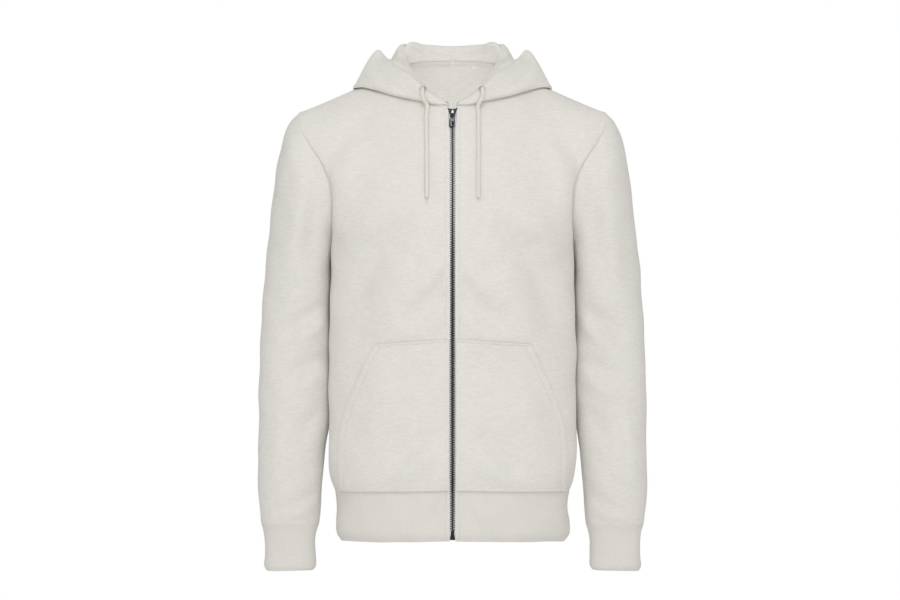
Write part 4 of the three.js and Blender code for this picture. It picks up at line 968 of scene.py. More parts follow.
# The hood's two halves
HOOD_TURNS = 84
EAR_TURNS = (96, 118, 22)
CENTRE_TURNS = [0.3, 0.7, 1.2]
HOOD_SHARES = (0, 0.9, 96)
RIM_SHARES = [0.085, 0.07, 0.056, 0.044, 0.032, 0.022, 0.013, 0.006, 0.0]


def hood_grid():
    """The hood's grid of points, close together at the ear, the centre seam and the rim, and its shares."""
    turns = [np.linspace(FRONT_NECK_TURNS[0], 180, HOOD_TURNS), np.linspace(*EAR_TURNS), 180 - np.array(CENTRE_TURNS)]
    shares = np.concatenate([np.linspace(*HOOD_SHARES), 1 - np.array(RIM_SHARES)])
    return grid_of(lambda s, t: (hood_point(t, s), s), shares, np.unique(np.concatenate(turns)))


# The hood's creases: reach, height and the (turn, share) points of each line. The notch beside the
# ear runs down the wing, two soft lines lie on the wing, and the swags hang inside the back of the neck.
HOOD_CREASES = [
    (4.2, -3.4, [(104, 0.748), (96, 0.735), (87, 0.722), (79, 0.742), (73, 0.782), (65, 0.80)]),
    (5.5, 2.2, [(98, 0.70), (86, 0.675), (73, 0.66), (56, 0.672)]),
    (6.0, -1.9, [(98, 0.62), (82, 0.575), (64, 0.545), (50, 0.56)]),
    (6.5, 1.6, [(92, 0.55), (76, 0.515), (60, 0.50)]),
    (2.8, -3.8, [(123, 0.118), (136, 0.086), (148, 0.054), (158, 0.034), (170, 0.018)]),
    (2.4, -3.2, [(121, 0.088), (134, 0.050), (150, 0.022)]),
    (2.6, 2.2, [(126, 0.098), (140, 0.066), (156, 0.043), (174, 0.034)]),
    (14, 3.6, [(128, 0.60), (146, 0.55), (168, 0.50)]),
    (12, -3.4, [(122, 0.50), (140, 0.455), (160, 0.42)]),
    (13, 3.0, [(116, 0.44), (134, 0.40), (156, 0.385), (172, 0.39)]),
    (9, -2.4, [(112, 0.545), (126, 0.56), (142, 0.60), (160, 0.66)]),
]
HOOD_SHARE_REACH = 0.11
HOOD_LINE_POINTS = 60
HOOD_END_MARGIN = 0.04
HOOD_RIGHT_KEEP = 0.9
HOOD_SEAM_LIFT = 0.3
HOOD_CENTRE_FADE = 16
HOOD_FRONT_FADE = 6


def hood_creases(points, shares):
    """How far the hood's creases move each point of its grid."""
    total = np.zeros(points.shape[:2])
    steps = np.linspace(0, 1, HOOD_LINE_POINTS)
    for reach, height, places in HOOD_CREASES:
        spots = np.linspace(0, 1, len(places))
        line_turns, line_shares = (np.interp(steps, spots, column) for column in np.array(places, float).T)
        best = np.full(points.shape[:2], FAR)
        end = np.zeros(points.shape[:2])
        for at, share, step in zip(hood_point(line_turns, line_shares), line_shares, steps):
            far = np.linalg.norm(points - at, axis=-1) + OFF_THE_SIDE * (np.abs(shares - share) > HOOD_SHARE_REACH)
            nearer = far < best
            best = np.where(nearer, far, best)
            inside = min(max(step, HOOD_END_MARGIN), 1 - HOOD_END_MARGIN)
            end = np.where(nearer, math.sin(math.pi * inside) ** 0.5, end)
        total += height * np.exp(-((best / reach) ** 2)) * end
    return total


hood_base, hood_shares = hood_grid()
hood_centre = border_distance(hood_base, 1, True)
hood_lift = fade(hood_centre, HOOD_CENTRE_FADE) * fade(border_distance(hood_base, 1), HOOD_FRONT_FADE)
hood_lift = hood_lift * hood_creases(hood_base, hood_shares)
for side_name, side in SIDES:
    base = hood_base if side > 0 else mirrored_grid(hood_base)
    lift = seam_dip(hood_centre) + hood_lift * (1.0 if side > 0 else HOOD_RIGHT_KEEP)
    shaped = sewn(base, lift[:, ::side])
    shaped[0] += np.array([0, 0, HOOD_SEAM_LIFT])
    add_cloth("hood_half_" + side_name, drawn_in(shaped), DOUBLED_HOOD, "hood_" + side_name, "fleece")


# The pouch pockets
POCKET_HEIGHT = 220.0
POCKET_WIDTH = 150.0
POCKET_HEIGHT_STEP = 4.0
POCKET_CLOSE_HEIGHT = 4.0
POCKET_CLOSE_WIDTHS = (133.0, 136.5, 140.0, 143.5)


def pocket_grid():
    heights = stations(POCKET_HEIGHT, POCKET_HEIGHT_STEP, (POCKET_CLOSE_HEIGHT,)) / POCKET_HEIGHT
    widths = stations(POCKET_WIDTH, FRONT_STEP, (ZIP_STITCH, *POCKET_CLOSE_WIDTHS)) / POCKET_WIDTH
    r, c = np.meshgrid(heights, widths, indexing="ij")
    z = mix(POCKET_FOOT_Z, POCKET_TOP_Z - POCKET_CORNER_DROP * c, r) - POCKET_FOOT_DROP * c * (1 - r)
    return front_surface(mix(ZIP_NARROW_X + 1, POCKET_OUTLINE(z)["edgeX"], c), z)


pocket_base, pocket_normal = pocket_grid()
for side_name, side in SIDES:
    base, normal = pocket_base, pocket_normal
    if side < 0:
        base, normal = mirrored_grid(base), mirrored_grid(normal)
    lift = (crease_height(base, normal) + wave_height(base)) * fade(np.abs(base[..., 0]) - ZIP_NARROW_X, BORDER_FADE)
    dips = stitch_dip(border_distance(base, 1, side > 0), POCKET_OPENING_STITCH)
    dips = dips + stitch_dip(border_distance(base, 0, True), POCKET_TOP_STITCH)
    shaped = base + normal * (lift + POCKET_GAP + FLEECE + dips)[..., None]
    add_cloth("pocket_patch_" + side_name, shaped, FLEECE, "pocket_" + side_name, "fleece")


# The zip: its line down the centre front, and the frame of a small part on it
BAND_POINTS = 60
FRONT_POINTS = 500


def centre_line():
    """Points of the centre front from the hem to the neck, with the outward direction."""
    band = skirt_point("front", np.zeros(BAND_POINTS), np.linspace(HEM_Z, HEM_SEAM_Z, BAND_POINTS, endpoint=False))
    front = body_point("front", np.zeros(FRONT_POINTS), np.linspace(0, 2, FRONT_POINTS))
    points = np.concatenate([band, front]) * np.array([0, 1, 1])
    up = unit(np.gradient(points, axis=0))
    return points, xyz(0, -up[:, 2], up[:, 1])


CENTRE, CENTRE_OUT = centre_line()
CENTRE_RUN = run_along(CENTRE)


def zip_frames(z):
    """For heights z: the point on the centre front, the direction in behind the cloth, and the one up along it."""
    z = np.atleast_1d(np.asarray(z, float))
    into = -unit(read_off(z, CENTRE[:, 2], CENTRE_OUT))
    return read_off(z, CENTRE[:, 2], CENTRE), into, xyz(0, -into[:, 2], into[:, 1])


def zip_heights(low, high, pitch):
    """Heights from low to high, a pitch apart along the cloth."""
    ends = np.interp([low, high], CENTRE[:, 2], CENTRE_RUN)
    return np.interp(np.arange(*ends, pitch), CENTRE_RUN, CENTRE[:, 2])


def placed(template, at, into, up):
    """Copies of a small form's points (across, in, up) at each frame: an array of copies by points by 3."""
    across = np.array([1.0, 0, 0])
    return (at[:, None] + template[None, :, :1] * across + template[None, :, 1:2] * into[:, None]
            + template[None, :, 2:3] * up[:, None])


def gathered(name, parts, smooth=False):
    """One mesh of several forms, each with its points and faces."""
    faces, start = [], 0
    for points, part_faces in parts:
        faces += [tuple(index + start for index in face) for face in part_faces]
        start += len(points)
    return make_mesh(name, np.concatenate([points for points, _ in parts]), faces, smooth=smooth)


def flipped(part):
    points, faces = part
    return points * MIRROR, [face[::-1] for face in faces]


def on_zip(part, heights):
    """Copies of a form at heights on the zip."""
    return [(copy, part[1]) for copy in placed(part[0], *zip_frames(heights))]


def prism(outline, depths, insets):
    """An outline (across, up) at several depths, each drawn in by an inset: its points and faces."""
    outline = np.array(outline, float)
    count = len(outline)
    ahead = unit(np.roll(outline, -1, axis=0) - outline)
    behind = unit(outline - np.roll(outline, 1, axis=0))
    inward = unit(np.stack([-(ahead + behind)[:, 1], (ahead + behind)[:, 0]], axis=-1))
    rings = []
    for depth, inset in zip(depths, insets):
        ring = outline + inward * inset
        rings.append(xyz(ring[:, 0], depth, ring[:, 1]))
    index = np.arange(len(depths) * count).reshape(-1, count)
    faces = [*ring_faces(index, True), tuple(index[0][::-1]), tuple(index[-1])]
    return np.concatenate(rings), faces


# Teeth of the left row as seen from the front: a clamp on the tape's edge and a wider head past the middle
TOOTH_PITCH = 3.4
TOOTH = [(-1.0, -0.8), (0.8, -0.8), (1.5, -0.62), (3.6, -0.62), (3.6, 0.62), (1.5, 0.62), (0.8, 0.8), (-1.0, 0.8)]
TOOTH_DEPTHS = [CHAIN_DEPTH, CHAIN_DEPTH + 0.35, CHAIN_DEPTH + CHAIN_THICK - 0.35, CHAIN_DEPTH + CHAIN_THICK]
TOOTH_INSETS = [0.3, 0, 0, 0.3]

tooth = prism(TOOTH, TOOTH_DEPTHS, TOOTH_INSETS)
heights = zip_heights(CHAIN_FOOT_Z + 1, CHAIN_TOP_Z, TOOTH_PITCH / 2)
teeth = gathered("zip_teeth", on_zip(tooth, heights[::2]) + on_zip(flipped(tooth), heights[1::2]))
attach(teeth, "garment")
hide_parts("zip_chain")
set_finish(teeth, "zip_metal")

# Details of the slider and the pull tab: outlines (across, up) and depths behind the front's face
ARM = [(3.6, 0.4), (5.0, 0.2), (7.5, 6.6), (6.7, 7.4), (5.6, 6.6)]
ARM_DEPTHS = [-0.5, -0.2, 1.3, 1.6]
ARM_INSETS = [0.3, 0, 0, 0.3]
# The glint is a raised polished boss on the slider's crown; its light metal paints in the highlight that the crown
# catches
GLINT = [(0, -1.2), (1.1, -0.9), (1.5, 0.1), (1.2, 1.4), (0.5, 3.4), (0, 4.0)]
GLINT += [(-across, up) for across, up in GLINT[-2:0:-1]]
GLINT_DEPTHS = [-0.35, -0.15, 0.35]
GLINT_INSETS = [0.35, 0.1, 0]
FLUTE_HALF_WIDTH = 0.36
FLUTE_UP = (-11.2, -6.6)
FLUTE_ACROSS = [-2.4, -1.2, 0, 1.2, 2.4]
FLUTE_LIFT = 0.28
FLUTE_SINK = 0.1
FLUTE_INSETS = [0.16, 0, 0]
HINGE_UP = -4.2
TAB_FACE = -1.95
TAB_SKEW = math.radians(4.0)


def flute(across):
    """One upright ridge of the pull tab's plate, leaning as the tab does."""
    low, high = FLUTE_UP
    outline = [(across + x, up) for x, up in ((-FLUTE_HALF_WIDTH, low), (FLUTE_HALF_WIDTH, low),
                                              (FLUTE_HALF_WIDTH, high), (-FLUTE_HALF_WIDTH, high))]
    depths = [TAB_FACE - FLUTE_LIFT, TAB_FACE - FLUTE_LIFT / 2, TAB_FACE + FLUTE_SINK]
    points, faces = prism(outline, depths, FLUTE_INSETS)
    x, depth, up = points.T
    leaning = (x * math.cos(TAB_SKEW) + up * math.sin(TAB_SKEW), up * math.cos(TAB_SKEW) - x * math.sin(TAB_SKEW))
    return xyz(leaning[0], depth, leaning[1] + HINGE_UP), faces


def on_slider(name, forms, body):
    made = gathered(name, [copy for form in forms for copy in on_zip(form, SLIDER_Z)])
    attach(made, body)
    return made


arm = prism(ARM, ARM_DEPTHS, ARM_INSETS)
slider_arms = on_slider("slider_arms", [arm, flipped(arm)], "garment")
slider_glint = on_slider("slider_glint", [prism(GLINT, GLINT_DEPTHS, GLINT_INSETS)], "garment")
tab_flutes = on_slider("tab_flutes", [flute(across) for across in FLUTE_ACROSS], "pull_tab")


# The tapes, by places across and how far each is raised: a low cord runs along the edge that the teeth grip
TAPE_ACROSS = np.array([3.0, 3.25, 3.7, 4.2, 4.5, 5.0, 6.0, 7.0, 8.0, 10.0, 12.8])
TAPE_RAISED = np.array([0.0, 0.15, 0.25, 0.2, 0.1, 0, 0, 0, 0, 0, 0])
TAPE_THICKNESS = 0.8


def zip_tape():
    at, into, _ = zip_frames(CENTRE[(CENTRE[:, 2] > TAPE_FOOT_Z) & (CENTRE[:, 2] < TAPE_TOP_Z), 2][::3])
    return at[:, None] + xyz(TAPE_ACROSS, 0, 0)[None] + into[:, None] * (TAPE_DEPTH - TAPE_RAISED)[None, :, None]


for side_name, side in SIDES:
    shaped = zip_tape() if side > 0 else mirrored_grid(zip_tape())
    add_cloth("zip_tape_weave_" + side_name, shaped, TAPE_THICKNESS, "zip_tape_" + side_name, "zip_tape")


# The tape over the back neck seam, and the blank label below it, both inside the back
NECK_SHARE = (len(BACK_NECK_TURNS) - 1) / (len(BACK_NECK_TURNS) - 1 + SHOULDER_COLUMNS)
NECK_TAPE_END = 0.985 * NECK_SHARE
NECK_TAPE_ROWS = (7, 1, 6)
NECK_TAPE_COLUMNS = 121
NECK_TAPE_THICKNESS = 1.0
LABEL_X = 33.7
LABEL_WIDTH = 6.5
LABEL_ROWS = (13, 7.4, 12)
LABEL_COLUMNS = 14
LABEL_THICKNESS = 0.8
LABEL_SAMPLES = 300
INSIDE_LIFT = 1.9
BELOW_SEAM = 1.97
BESIDE_SEAM = 1.98
ACROSS_STEP = 0.002


def back_at(across, level):
    return body_point("back", across, np.full_like(across, level))


def inside_neck(run, across):
    """A point inside the back, at a share across it (the wearer's right is negative) and a run down from its seam."""
    side = np.where(across < 0, -1.0, 1.0)[..., None] * np.array([1, 0, 0]) + np.array([0, 1, 1])
    a = np.abs(across)
    seam = back_at(a, 2.0)
    down = unit(back_at(a, BELOW_SEAM) - seam)
    along = back_at(a + ACROSS_STEP, BESIDE_SEAM) - back_at(np.abs(a - ACROSS_STEP), BESIDE_SEAM)
    into = unit(np.cross(down, along))
    into = np.where(into[..., 1:2] > 0, -into, into)
    return (seam + down * run[..., None] + into * (FLEECE + INSIDE_LIFT)) * side


def across_at(x):
    """The share across the back that lies a distance from its centre."""
    a = np.linspace(0, NECK_SHARE, LABEL_SAMPLES)
    return np.interp(x, back_at(a, BELOW_SEAM)[:, 0], a)


neck_columns = np.linspace(-NECK_TAPE_END, NECK_TAPE_END, NECK_TAPE_COLUMNS)
add_cloth("neck_tape_weave", grid_of(inside_neck, np.linspace(*NECK_TAPE_ROWS), neck_columns), NECK_TAPE_THICKNESS,
          "neck_tape", "neck_tape")
label_ends = (across_at(LABEL_X + way * LABEL_WIDTH / 2) for way in (-1, 1))
label_grid = grid_of(inside_neck, np.linspace(*LABEL_ROWS), np.linspace(*label_ends, LABEL_COLUMNS))
add_cloth("blank_label", label_grid, LABEL_THICKNESS, "size_label", "label")


# The stitched eyelets: close threads over a ring, and a thin dark disc in it, painted shade for the dark inside of the
# eyelet's opening
EYELET_MIDDLE = 4.5
EYELET_RAISE = 1.7
EYELET_THREADS = 26
EYELET_WIDE = (0.85, 0.18)
EYELET_HIGH = (0.45, 0.25)
EYELET_LIFT = 0.35
HOLE_RADIUS = 3.75
HOLE_LIFTS = (-0.18, 0.12)
HOLE_SIDES = 32


def eyelet_frame():
    """The eyelet's centre, a little above the cord's, with its sideways, upward and outward directions."""
    at, out = hood_place(EYELET_TURN, EYELET_SHARE)
    across = unit(np.cross(out, [0, 0, 1.0]))
    up = np.cross(across, out)
    return at + up * EYELET_RAISE, across, up, out


def around_eyelet(turn, wide, high, side):
    """Points round the eyelet at a turn, as far out and as high as given, on one side of the hood."""
    at, across, up, out = eyelet_frame()
    flat = across * (wide * np.cos(turn))[..., None] + up * (wide * np.sin(turn))[..., None]
    return (at + flat + out * np.asarray(high)[..., None]) * np.array([side, 1, 1])


def eyelet_ring(side_name, side):
    turns = np.linspace(0, 2 * np.pi, EYELET_THREADS * 6, endpoint=False)
    t, a = np.meshgrid(turns, np.linspace(0, 2 * np.pi, 10, endpoint=False), indexing="ij")
    thread = np.abs(np.sin(t * EYELET_THREADS / 2)) ** 0.5
    wide = EYELET_MIDDLE + np.cos(a) * (EYELET_WIDE[0] + EYELET_WIDE[1] * thread)
    high = EYELET_LIFT + np.sin(a) * (EYELET_HIGH[0] + EYELET_HIGH[1] * thread)
    index = np.arange(t.size).reshape(t.shape)
    faces = [face[::side] for face in ring_faces(np.concatenate([index, index[:1]]), True)]
    uvs = np.stack([t.ravel(), a.ravel()], axis=-1) / (2 * np.pi)
    points = around_eyelet(t, wide, high, side).reshape(-1, 3)
    return make_mesh("stitched_eyelet_" + side_name, points, faces, uvs)


# A thin dark disc in each eyelet: painted shade, standing for the dark inside of its opening
def eyelet_shade_disc(side_name, side):
    turns = np.linspace(0, 2 * np.pi, HOLE_SIDES, endpoint=False)
    wide = np.full(HOLE_SIDES, HOLE_RADIUS)
    rings = [around_eyelet(turns, wide, np.full(HOLE_SIDES, lift), side) for lift in HOLE_LIFTS]
    index = np.arange(2 * HOLE_SIDES).reshape(2, HOLE_SIDES)
    faces = [tuple(index[0]), tuple(index[1][::-1]), *ring_faces(index, True, True)]
    return make_mesh("eyelet_shade_disc_" + side_name, np.concatenate(rings), [face[::side] for face in faces], smooth=False)


eyelet_shade_discs = [eyelet_shade_disc(side_name, side) for side_name, side in SIDES]
for (side_name, side), shade_disc in zip(SIDES, eyelet_shade_discs):
    ring = eyelet_ring(side_name, side)
    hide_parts("eyelet_" + side_name)
    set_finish(ring, "eyelet_thread")
    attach(ring, "garment")
    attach(shade_disc, "garment")


# Lines of stitches: each stitch is a short thread that dips into the cloth at both ends
STITCH_LENGTH = 2.5
STITCH_PITCH = 3.1
STITCH_RADIUS = 0.32
STITCH_START = 0.4
STITCH_LIFT = 0.1
STITCH_SINK = 0.25
STITCH_RINGS = (0.25, 0.75)


def stitch_line(points, normals):
    """The vertices of one line of stitches along a path on the cloth: copies of 10 points."""
    along = run_along(points)
    starts = np.arange(STITCH_START, along[-1] - STITCH_LENGTH, STITCH_PITCH)

    def at(share):
        run = starts + STITCH_LENGTH * share
        return read_off(run, along, points), unit(read_off(run, along, normals))

    ends = [at(0), at(1)]
    direction = unit(ends[1][0] - ends[0][0])
    rings = []
    for place, normal in (at(share) for share in STITCH_RINGS):
        side = np.cross(direction, normal)
        for turn in np.radians([0, 90, 180, 270]):
            rings.append(place + normal * (STITCH_LIFT + STITCH_RADIUS * math.sin(turn))
                         + side * STITCH_RADIUS * math.cos(turn))
    tips = [place - normal * STITCH_SINK for place, normal in ends]
    return np.stack([tips[0], *rings, tips[1]], axis=1)


STITCH_FACES = [(0, 1 + (i + 1) % 4, 1 + i) for i in range(4)]
STITCH_FACES += ring_faces(np.arange(1, 9).reshape(2, 4), True)
STITCH_FACES += [(9, 5 + i, 5 + (i + 1) % 4) for i in range(4)]


def line_at(points, axis, distance, from_end=False, skip=0):
    """The line across a grid at a distance from its first (or last) row or column, with the cloth's normals there."""
    both = [points, grid_normals(points)]
    if axis == 0:
        both = [np.swapaxes(grid, 0, 1) for grid in both]
    if from_end:
        both = [grid[:, ::-1] for grid in both]
    along = border_distance(both[0], 1)
    place, lean = (np.array([read_off(distance, a, row) for a, row in zip(along, grid)])[skip:] for grid in both)
    return place, unit(lean)


# The stitched lines of each side: the piece, axis, distance, whether it runs along the zip, and the rows left out
ARMPIT_ROWS = 70
SIDE_LINES = [
    ("front_panel_", 1, ZIP_STITCH, "near", 0), ("hem_rib", 1, ZIP_STITCH, "near", 0),
    ("front_panel_", 0, HEM_STITCH, "first", 0), ("front_panel_", 0, NECK_STITCH, "last", 0),
    ("front_panel_", 1, ARMHOLE_STITCH, "far", ARMPIT_ROWS), ("pocket_patch_", 0, POCKET_TOP_STITCH, "last", 0),
    ("pocket_patch_", 1, POCKET_OPENING_STITCH, "far", 0), ("pocket_patch_", 1, ZIP_STITCH - 1, "near", 0),
    ("hood_half_", 0, CASING_STITCH, "last", 0),
]
lines = []
for side_name, side in SIDES:
    from_end = {"first": False, "last": True, "near": side < 0, "far": side > 0}
    for name, axis, distance, border, skip in SIDE_LINES:
        shape = shapes[name + side_name if name.endswith("_") else name]
        lines.append(line_at(shape, axis, distance, from_end[border], skip))
lines.append(line_at(shapes["back_panel"], 0, HEM_STITCH))
lines += [line_at(shapes["back_panel"], 1, ARMHOLE_STITCH, end, ARMPIT_ROWS) for end in (False, True)]
stitches = gathered("topstitching", [(copy, STITCH_FACES) for line in lines for copy in stitch_line(*line)], True)
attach(stitches, "garment")
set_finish(stitches, "fleece")


# Materials
class Shader:
    """A material's nodes, added one at a time. Constant values are set on the shader's own sockets."""

    def __init__(self, name, roughness, metallic=0.0, sheen=0.0, specular=0.3):
        self.material = bpy.data.materials.new(name)
        self.material.use_nodes = True
        self.nodes = self.material.node_tree.nodes
        self.links = self.material.node_tree.links
        self.surface = self.nodes["Principled BSDF"]
        constants = {"Roughness": roughness, "Metallic": metallic, "Sheen Weight": sheen, "Sheen Roughness": 0.5,
                     "Specular IOR Level": specular}
        for key, value in constants.items():
            self.surface.inputs[key].default_value = value
        self.coordinates = self.nodes.new("ShaderNodeTexCoord")

    def add(self, kind, values=None, **settings):
        node = self.nodes.new(kind)
        for key, value in settings.items():
            setattr(node, key, value)
        for key, value in (values or {}).items():
            if isinstance(value, bpy.types.NodeSocket):
                self.links.new(value, node.inputs[key])
            else:
                node.inputs[key].default_value = value
        return node

    def noise(self, scale, detail=2.0, roughness=0.5, place=None):
        values = {"Vector": place or self.coordinates.outputs["Object"], "Scale": scale, "Detail": detail}
        return self.add("ShaderNodeTexNoise", {**values, "Roughness": roughness}).outputs["Fac"]

    def streaks(self, scale, stretch):
        """Noise drawn out sideways, as yarns of uneven thickness lie in a knit."""
        values = {"Vector": self.coordinates.outputs["Object"], "Scale": (stretch, stretch, 1.0)}
        return self.noise(scale, place=self.add("ShaderNodeMapping", values).outputs["Vector"])

    def maths(self, operation, a, b=0.0):
        return self.add("ShaderNodeMath", {0: a, 1: b}, operation=operation).outputs[0]

    def ramp(self, value, stops):
        node = self.add("ShaderNodeValToRGB", {"Fac": value})
        while len(node.color_ramp.elements) < len(stops):
            node.color_ramp.elements.new(0.5)
        for element, (place, colour) in zip(node.color_ramp.elements, stops):
            element.position = place
            element.color = (*colour, 1)
        return node.outputs["Color"]

    def shades(self, value, colour, *stops):
        """A ramp of lighter and darker shares of one colour."""
        return self.ramp(value, [(place, tinted(colour, share)) for place, share in stops])

    def mixed(self, factor, a, b, blend="MIX"):
        node = self.add("ShaderNodeMix", data_type="RGBA", blend_type=blend)
        for socket, value in ((0, factor), (6, a), (7, b)):
            if isinstance(value, bpy.types.NodeSocket):
                self.links.new(value, node.inputs[socket])
            else:
                node.inputs[socket].default_value = value
        return node.outputs[2]

    def times(self, a, b):
        return self.mixed(1.0, a, b, "MULTIPLY")

    def parts(self):
        return self.add("ShaderNodeSeparateXYZ", {0: self.coordinates.outputs["UV"]}).outputs

    def half_sine(self, angle):
        return self.maths("ADD", self.maths("MULTIPLY", self.maths("SINE", angle), 0.5), 0.5)

    def waves(self, axis, pitch):
        """A sine from 0 to 1 along one axis of the UVs, with a pitch in metres."""
        return self.half_sine(self.maths("MULTIPLY", self.parts()[axis], 2 * math.pi / pitch))

    def finish(self, colour, height=None, strength=0.0, distance=0.0):
        self.links.new(colour, self.surface.inputs["Base Color"])
        if height is not None:
            bump = self.add("ShaderNodeBump", {"Height": height, "Strength": strength, "Distance": distance})
            self.links.new(bump.outputs["Normal"], self.surface.inputs["Normal"])
        return self.material


def tinted(colour, share):
    return tuple(min(1.0, c * share) for c in colour)


# Scales of the noises, for a metre, and pitches of the knit, in metres
YARN = 520
CLOUD = 34
SLUB = (420, 0.22)
FLECK = 900
GRAIN = 700
WORN = 260
PITS = 1500
WALE = 0.0013
COURSE = 0.0011
RIB_PITCH = 0.0027
RIB_COURSE = 0.0012
BRAID_THREADS = 8
BRAID_PITCH = 0.0042
FLECK_SHARE = 0.6
WHITE = (1, 1, 1)


def cloth_material(name, colour):
    """Loopback fleece: mottled yarn, slubs, small darker flecks, and wales and courses in its relief."""
    made = Shader(name, 0.92, sheen=0.12, specular=0.2)
    yarn = made.shades(made.noise(YARN, 3.0, roughness=0.65), colour, (0.3, 0.945), (0.7, 1.045))
    base = made.times(yarn, made.shades(made.noise(CLOUD, 2.0), WHITE, (0.3, 0.985), (0.7, 1)))
    base = made.times(base, made.ramp(made.streaks(*SLUB), [(0.34, (0.955, 0.953, 0.948)), (0.62, WHITE)]))
    fleck = made.ramp(made.noise(FLECK, 1.0), [(0.66, WHITE), (0.74, (0.80, 0.77, 0.73))])
    base = made.mixed(FLECK_SHARE, base, made.times(base, fleck))
    knit = made.maths("MULTIPLY", made.waves("X", WALE), made.waves("Y", COURSE))
    height = made.maths("ADD", knit, made.maths("MULTIPLY", made.noise(GRAIN, 3.0), 0.8))
    return made.finish(base, height, 0.45, 0.0004)


def rib_material(name, colour):
    """Fine rib: soft upright ribs with the same mottled yarn, their colour a little darker in the valleys as painted
    shade.
    """
    made = Shader(name, 0.92, sheen=0.12, specular=0.2)
    ribs = made.waves("X", RIB_PITCH)
    yarn = made.shades(made.noise(YARN, 3.0, roughness=0.65), colour, (0.3, 0.95), (0.7, 1.04))
    # The colour darkens in the valleys between the ribs: painted shade
    base = made.times(yarn, made.ramp(ribs, [(0.0, (0.965, 0.962, 0.955)), (0.55, WHITE)]))
    knit = made.maths("ADD", ribs, made.maths("MULTIPLY", made.waves("Y", RIB_COURSE), 0.25))
    height = made.maths("ADD", knit, made.maths("MULTIPLY", made.noise(GRAIN, 3.0), 0.4))
    return made.finish(base, height, 0.35, 0.0005)


def braid_material(name, colour):
    """A round braid: two sets of threads that cross round the cord, their colour darker in the grooves between them as
    painted shade.
    """
    made = Shader(name, 0.85, sheen=0.1, specular=0.25)
    parts = made.parts()
    turn = made.maths("MULTIPLY", parts["X"], 2 * math.pi * BRAID_THREADS)
    run = made.maths("MULTIPLY", parts["Y"], 2 * math.pi / BRAID_PITCH)
    braid = made.maths("MAXIMUM", *(made.half_sine(made.maths(way, turn, run)) for way in ("ADD", "SUBTRACT")))
    shade = made.shades(braid, colour, (0.35, 0.86), (0.9, 1.02))
    base = made.mixed(0.5, shade, made.shades(made.noise(FLECK), colour, (0.3, 0.93), (0.7, 1.03)))
    return made.finish(base, braid, 0.6, 0.0005)


def metal_material(name, colour, roughness):
    """Dark metal, worn a little lighter in places."""
    made = Shader(name, roughness, 0.75, specular=0.4)
    worn = made.shades(made.noise(WORN, 3.0), colour, (0.35, 0.8), (0.7, 1.35))
    return made.finish(worn, made.noise(PITS, 2.0), 0.15, 0.0002)


def tape_material(name, colour, pitch):
    """A close woven tape: slanted twill lines, their colour darker in the grooves as painted shade."""
    made = Shader(name, 0.8, sheen=0.05, specular=0.3)
    parts = made.parts()
    slant = made.maths("ADD", parts["X"], parts["Y"])
    twill = made.half_sine(made.maths("MULTIPLY", slant, 2 * math.pi / pitch))
    return made.finish(made.shades(twill, colour, (0.1, 0.88), (0.8, 1.02)), twill, 0.5, 0.0003)


FLEECE_COLOUR = (0.80, 0.785, 0.75)
RIB_COLOUR = (0.752, 0.733, 0.695)
CORD_COLOUR = (0.80, 0.775, 0.725)
TAPE_COLOUR = (0.93, 0.94, 0.97)
NECK_TAPE_COLOUR = (0.76, 0.735, 0.69)
LABEL_COLOUR = (0.88, 0.88, 0.87)
# The eyelet thread's colour is the fleece's cream made darker and browner: painted shade round the eyelets
EYELET_SHADED_COLOUR = (0.66, 0.63, 0.58)
# The dark brown of the eyelets' discs is painted shade
PAINTED_EYELET_SHADE_COLOUR = (0.17, 0.145, 0.12)
METAL_COLOUR = (0.024, 0.025, 0.029)
# A light metal for the glint: partly the crown's polished finish, partly a painted highlight
GLINT_HIGHLIGHT_COLOUR = (0.78, 0.79, 0.81)
GREY_METAL_COLOUR = (0.26, 0.265, 0.28)

materials = {
    "fleece": cloth_material("fleece", FLEECE_COLOUR),
    "rib": rib_material("rib", RIB_COLOUR),
    "cord": braid_material("cord", CORD_COLOUR),
    "eyelet_thread": tape_material("eyelet_thread", EYELET_SHADED_COLOUR, 0.02),
    "zip_tape": tape_material("zip_tape", TAPE_COLOUR, 0.0011),
    "neck_tape": tape_material("neck_tape", NECK_TAPE_COLOUR, 0.0012),
    "label": tape_material("label", LABEL_COLOUR, 0.0005),
    "zip_metal": metal_material("zip_metal", METAL_COLOUR, 0.34),
}
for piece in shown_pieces():
    if "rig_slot" in piece:
        piece.data.materials.clear()
        piece.data.materials.append(materials[piece["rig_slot"]])
# The eyelets' dark discs take a material of painted shade
painted_eyelet_shade = tape_material("eyelet_painted_shade", PAINTED_EYELET_SHADE_COLOUR, 0.02)
for shade_disc in eyelet_shade_discs:
    shade_disc.data.materials.append(painted_eyelet_shade)
slider_arms.data.materials.append(materials["zip_metal"])
# The glint's light metal is partly its polished finish and partly a painted highlight
slider_glint.data.materials.append(metal_material("painted_highlight_metal", GLINT_HIGHLIGHT_COLOUR, 0.3))
tab_flutes.data.materials.append(metal_material("grey_metal", GREY_METAL_COLOUR, 0.35))

# The zip's hard parts keep their solids, with rounded edges
for name, width in (("zip_box", 0.35), ("zip_slider", 0.25), ("zip_tab", 0.22)):
    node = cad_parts[name]
    node.material_slots[0].material = materials["zip_metal"]
    bevel = node.modifiers.new("rounded_edges", "BEVEL")
    bevel.width = width * MM
    bevel.segments = 2
    bevel.limit_method = "ANGLE"

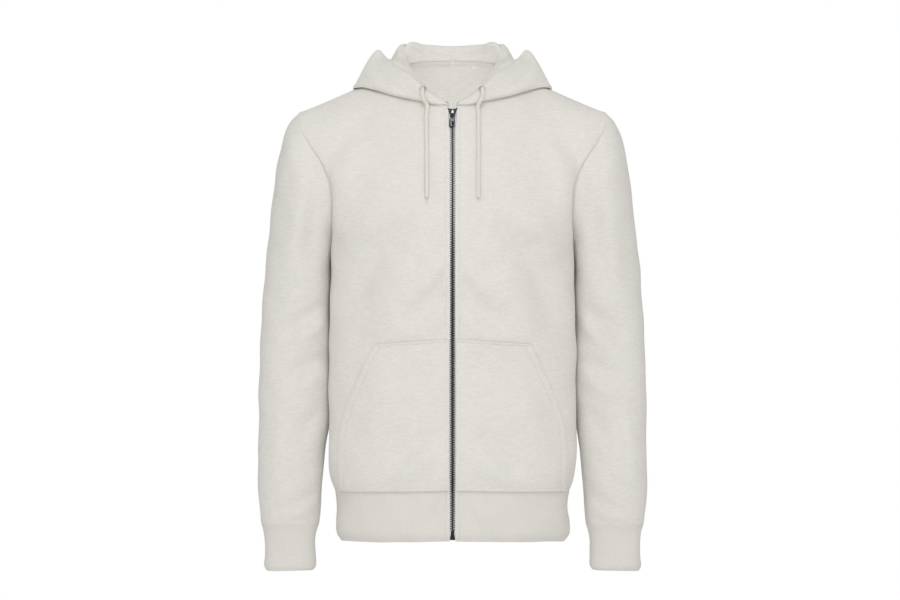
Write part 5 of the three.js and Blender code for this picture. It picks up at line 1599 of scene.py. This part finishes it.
# The soft studio light, the white room and the pale floor
world = bpy.data.worlds.new("studio")
bpy.context.scene.world = world
world.use_nodes = True
world.node_tree.nodes["Background"].inputs["Color"].default_value = (1, 0.985, 0.96, 1)
world.node_tree.nodes["Background"].inputs["Strength"].default_value = 0.64


MIDDLE = (0, 0, -0.35)


def area_light(name, place, aim, size, power, seen=True):
    lamp = bpy.data.objects.new(name, bpy.data.lights.new(name, "AREA"))
    lamp.data.size = size
    lamp.data.energy = power
    lamp.location = place
    lamp.rotation_euler = (Vector(aim) - Vector(place)).to_track_quat("-Z", "Y").to_euler()
    lamp.visible_camera = seen
    bpy.context.scene.collection.objects.link(lamp)


area_light("front_softbox", (0, -4.0, -0.6), MIDDLE, 2.4, 36)
area_light("key_softbox", (0, -1.9, 1.6), MIDDLE, 1.0, 14)
area_light("back_softbox", (0, 3.4, 0.5), MIDDLE, 2.4, 16, False)
area_light("neck_fill", (0, -0.03, -0.2), (0, 0.07, -0.01), 0.1, 0.2, False)

# The camera sees this room as white, and nothing else is lit by it
ROOM = 9.0
room_mesh = bpy.data.meshes.new("white_room")
room_bm = bmesh.new()
bmesh.ops.create_icosphere(room_bm, subdivisions=4, radius=ROOM)
room_bm.to_mesh(room_mesh)
room_bm.free()
room = bpy.data.objects.new("white_room", room_mesh)
bpy.context.scene.collection.objects.link(room)
room_paint = bpy.data.materials.new("white_room")
room_paint.use_nodes = True
room_tree = room_paint.node_tree
glow = room_tree.nodes.new("ShaderNodeEmission")
glow.inputs["Strength"].default_value = 1.0
room_tree.links.new(glow.outputs[0], room_tree.nodes["Material Output"].inputs["Surface"])
room.data.materials.append(room_paint)
room.visible_diffuse = room.visible_glossy = room.visible_shadow = False

FLOOR_Z = -1050
FLOOR_HALF = 1600
floor_corners = [(x * FLOOR_HALF, y * FLOOR_HALF, FLOOR_Z) for x, y in ((-1, -1), (1, -1), (1, 1), (-1, 1))]
floor = make_mesh("floor", floor_corners, [(0, 1, 2, 3)])
floor_paint = Shader("floor_paint", 0.9, specular=0.2)
floor_tones = floor_paint.shades(floor_paint.noise(3), WHITE, (0.3, 0.86), (0.7, 0.9))
floor.data.materials.append(floor_paint.finish(floor_tones))
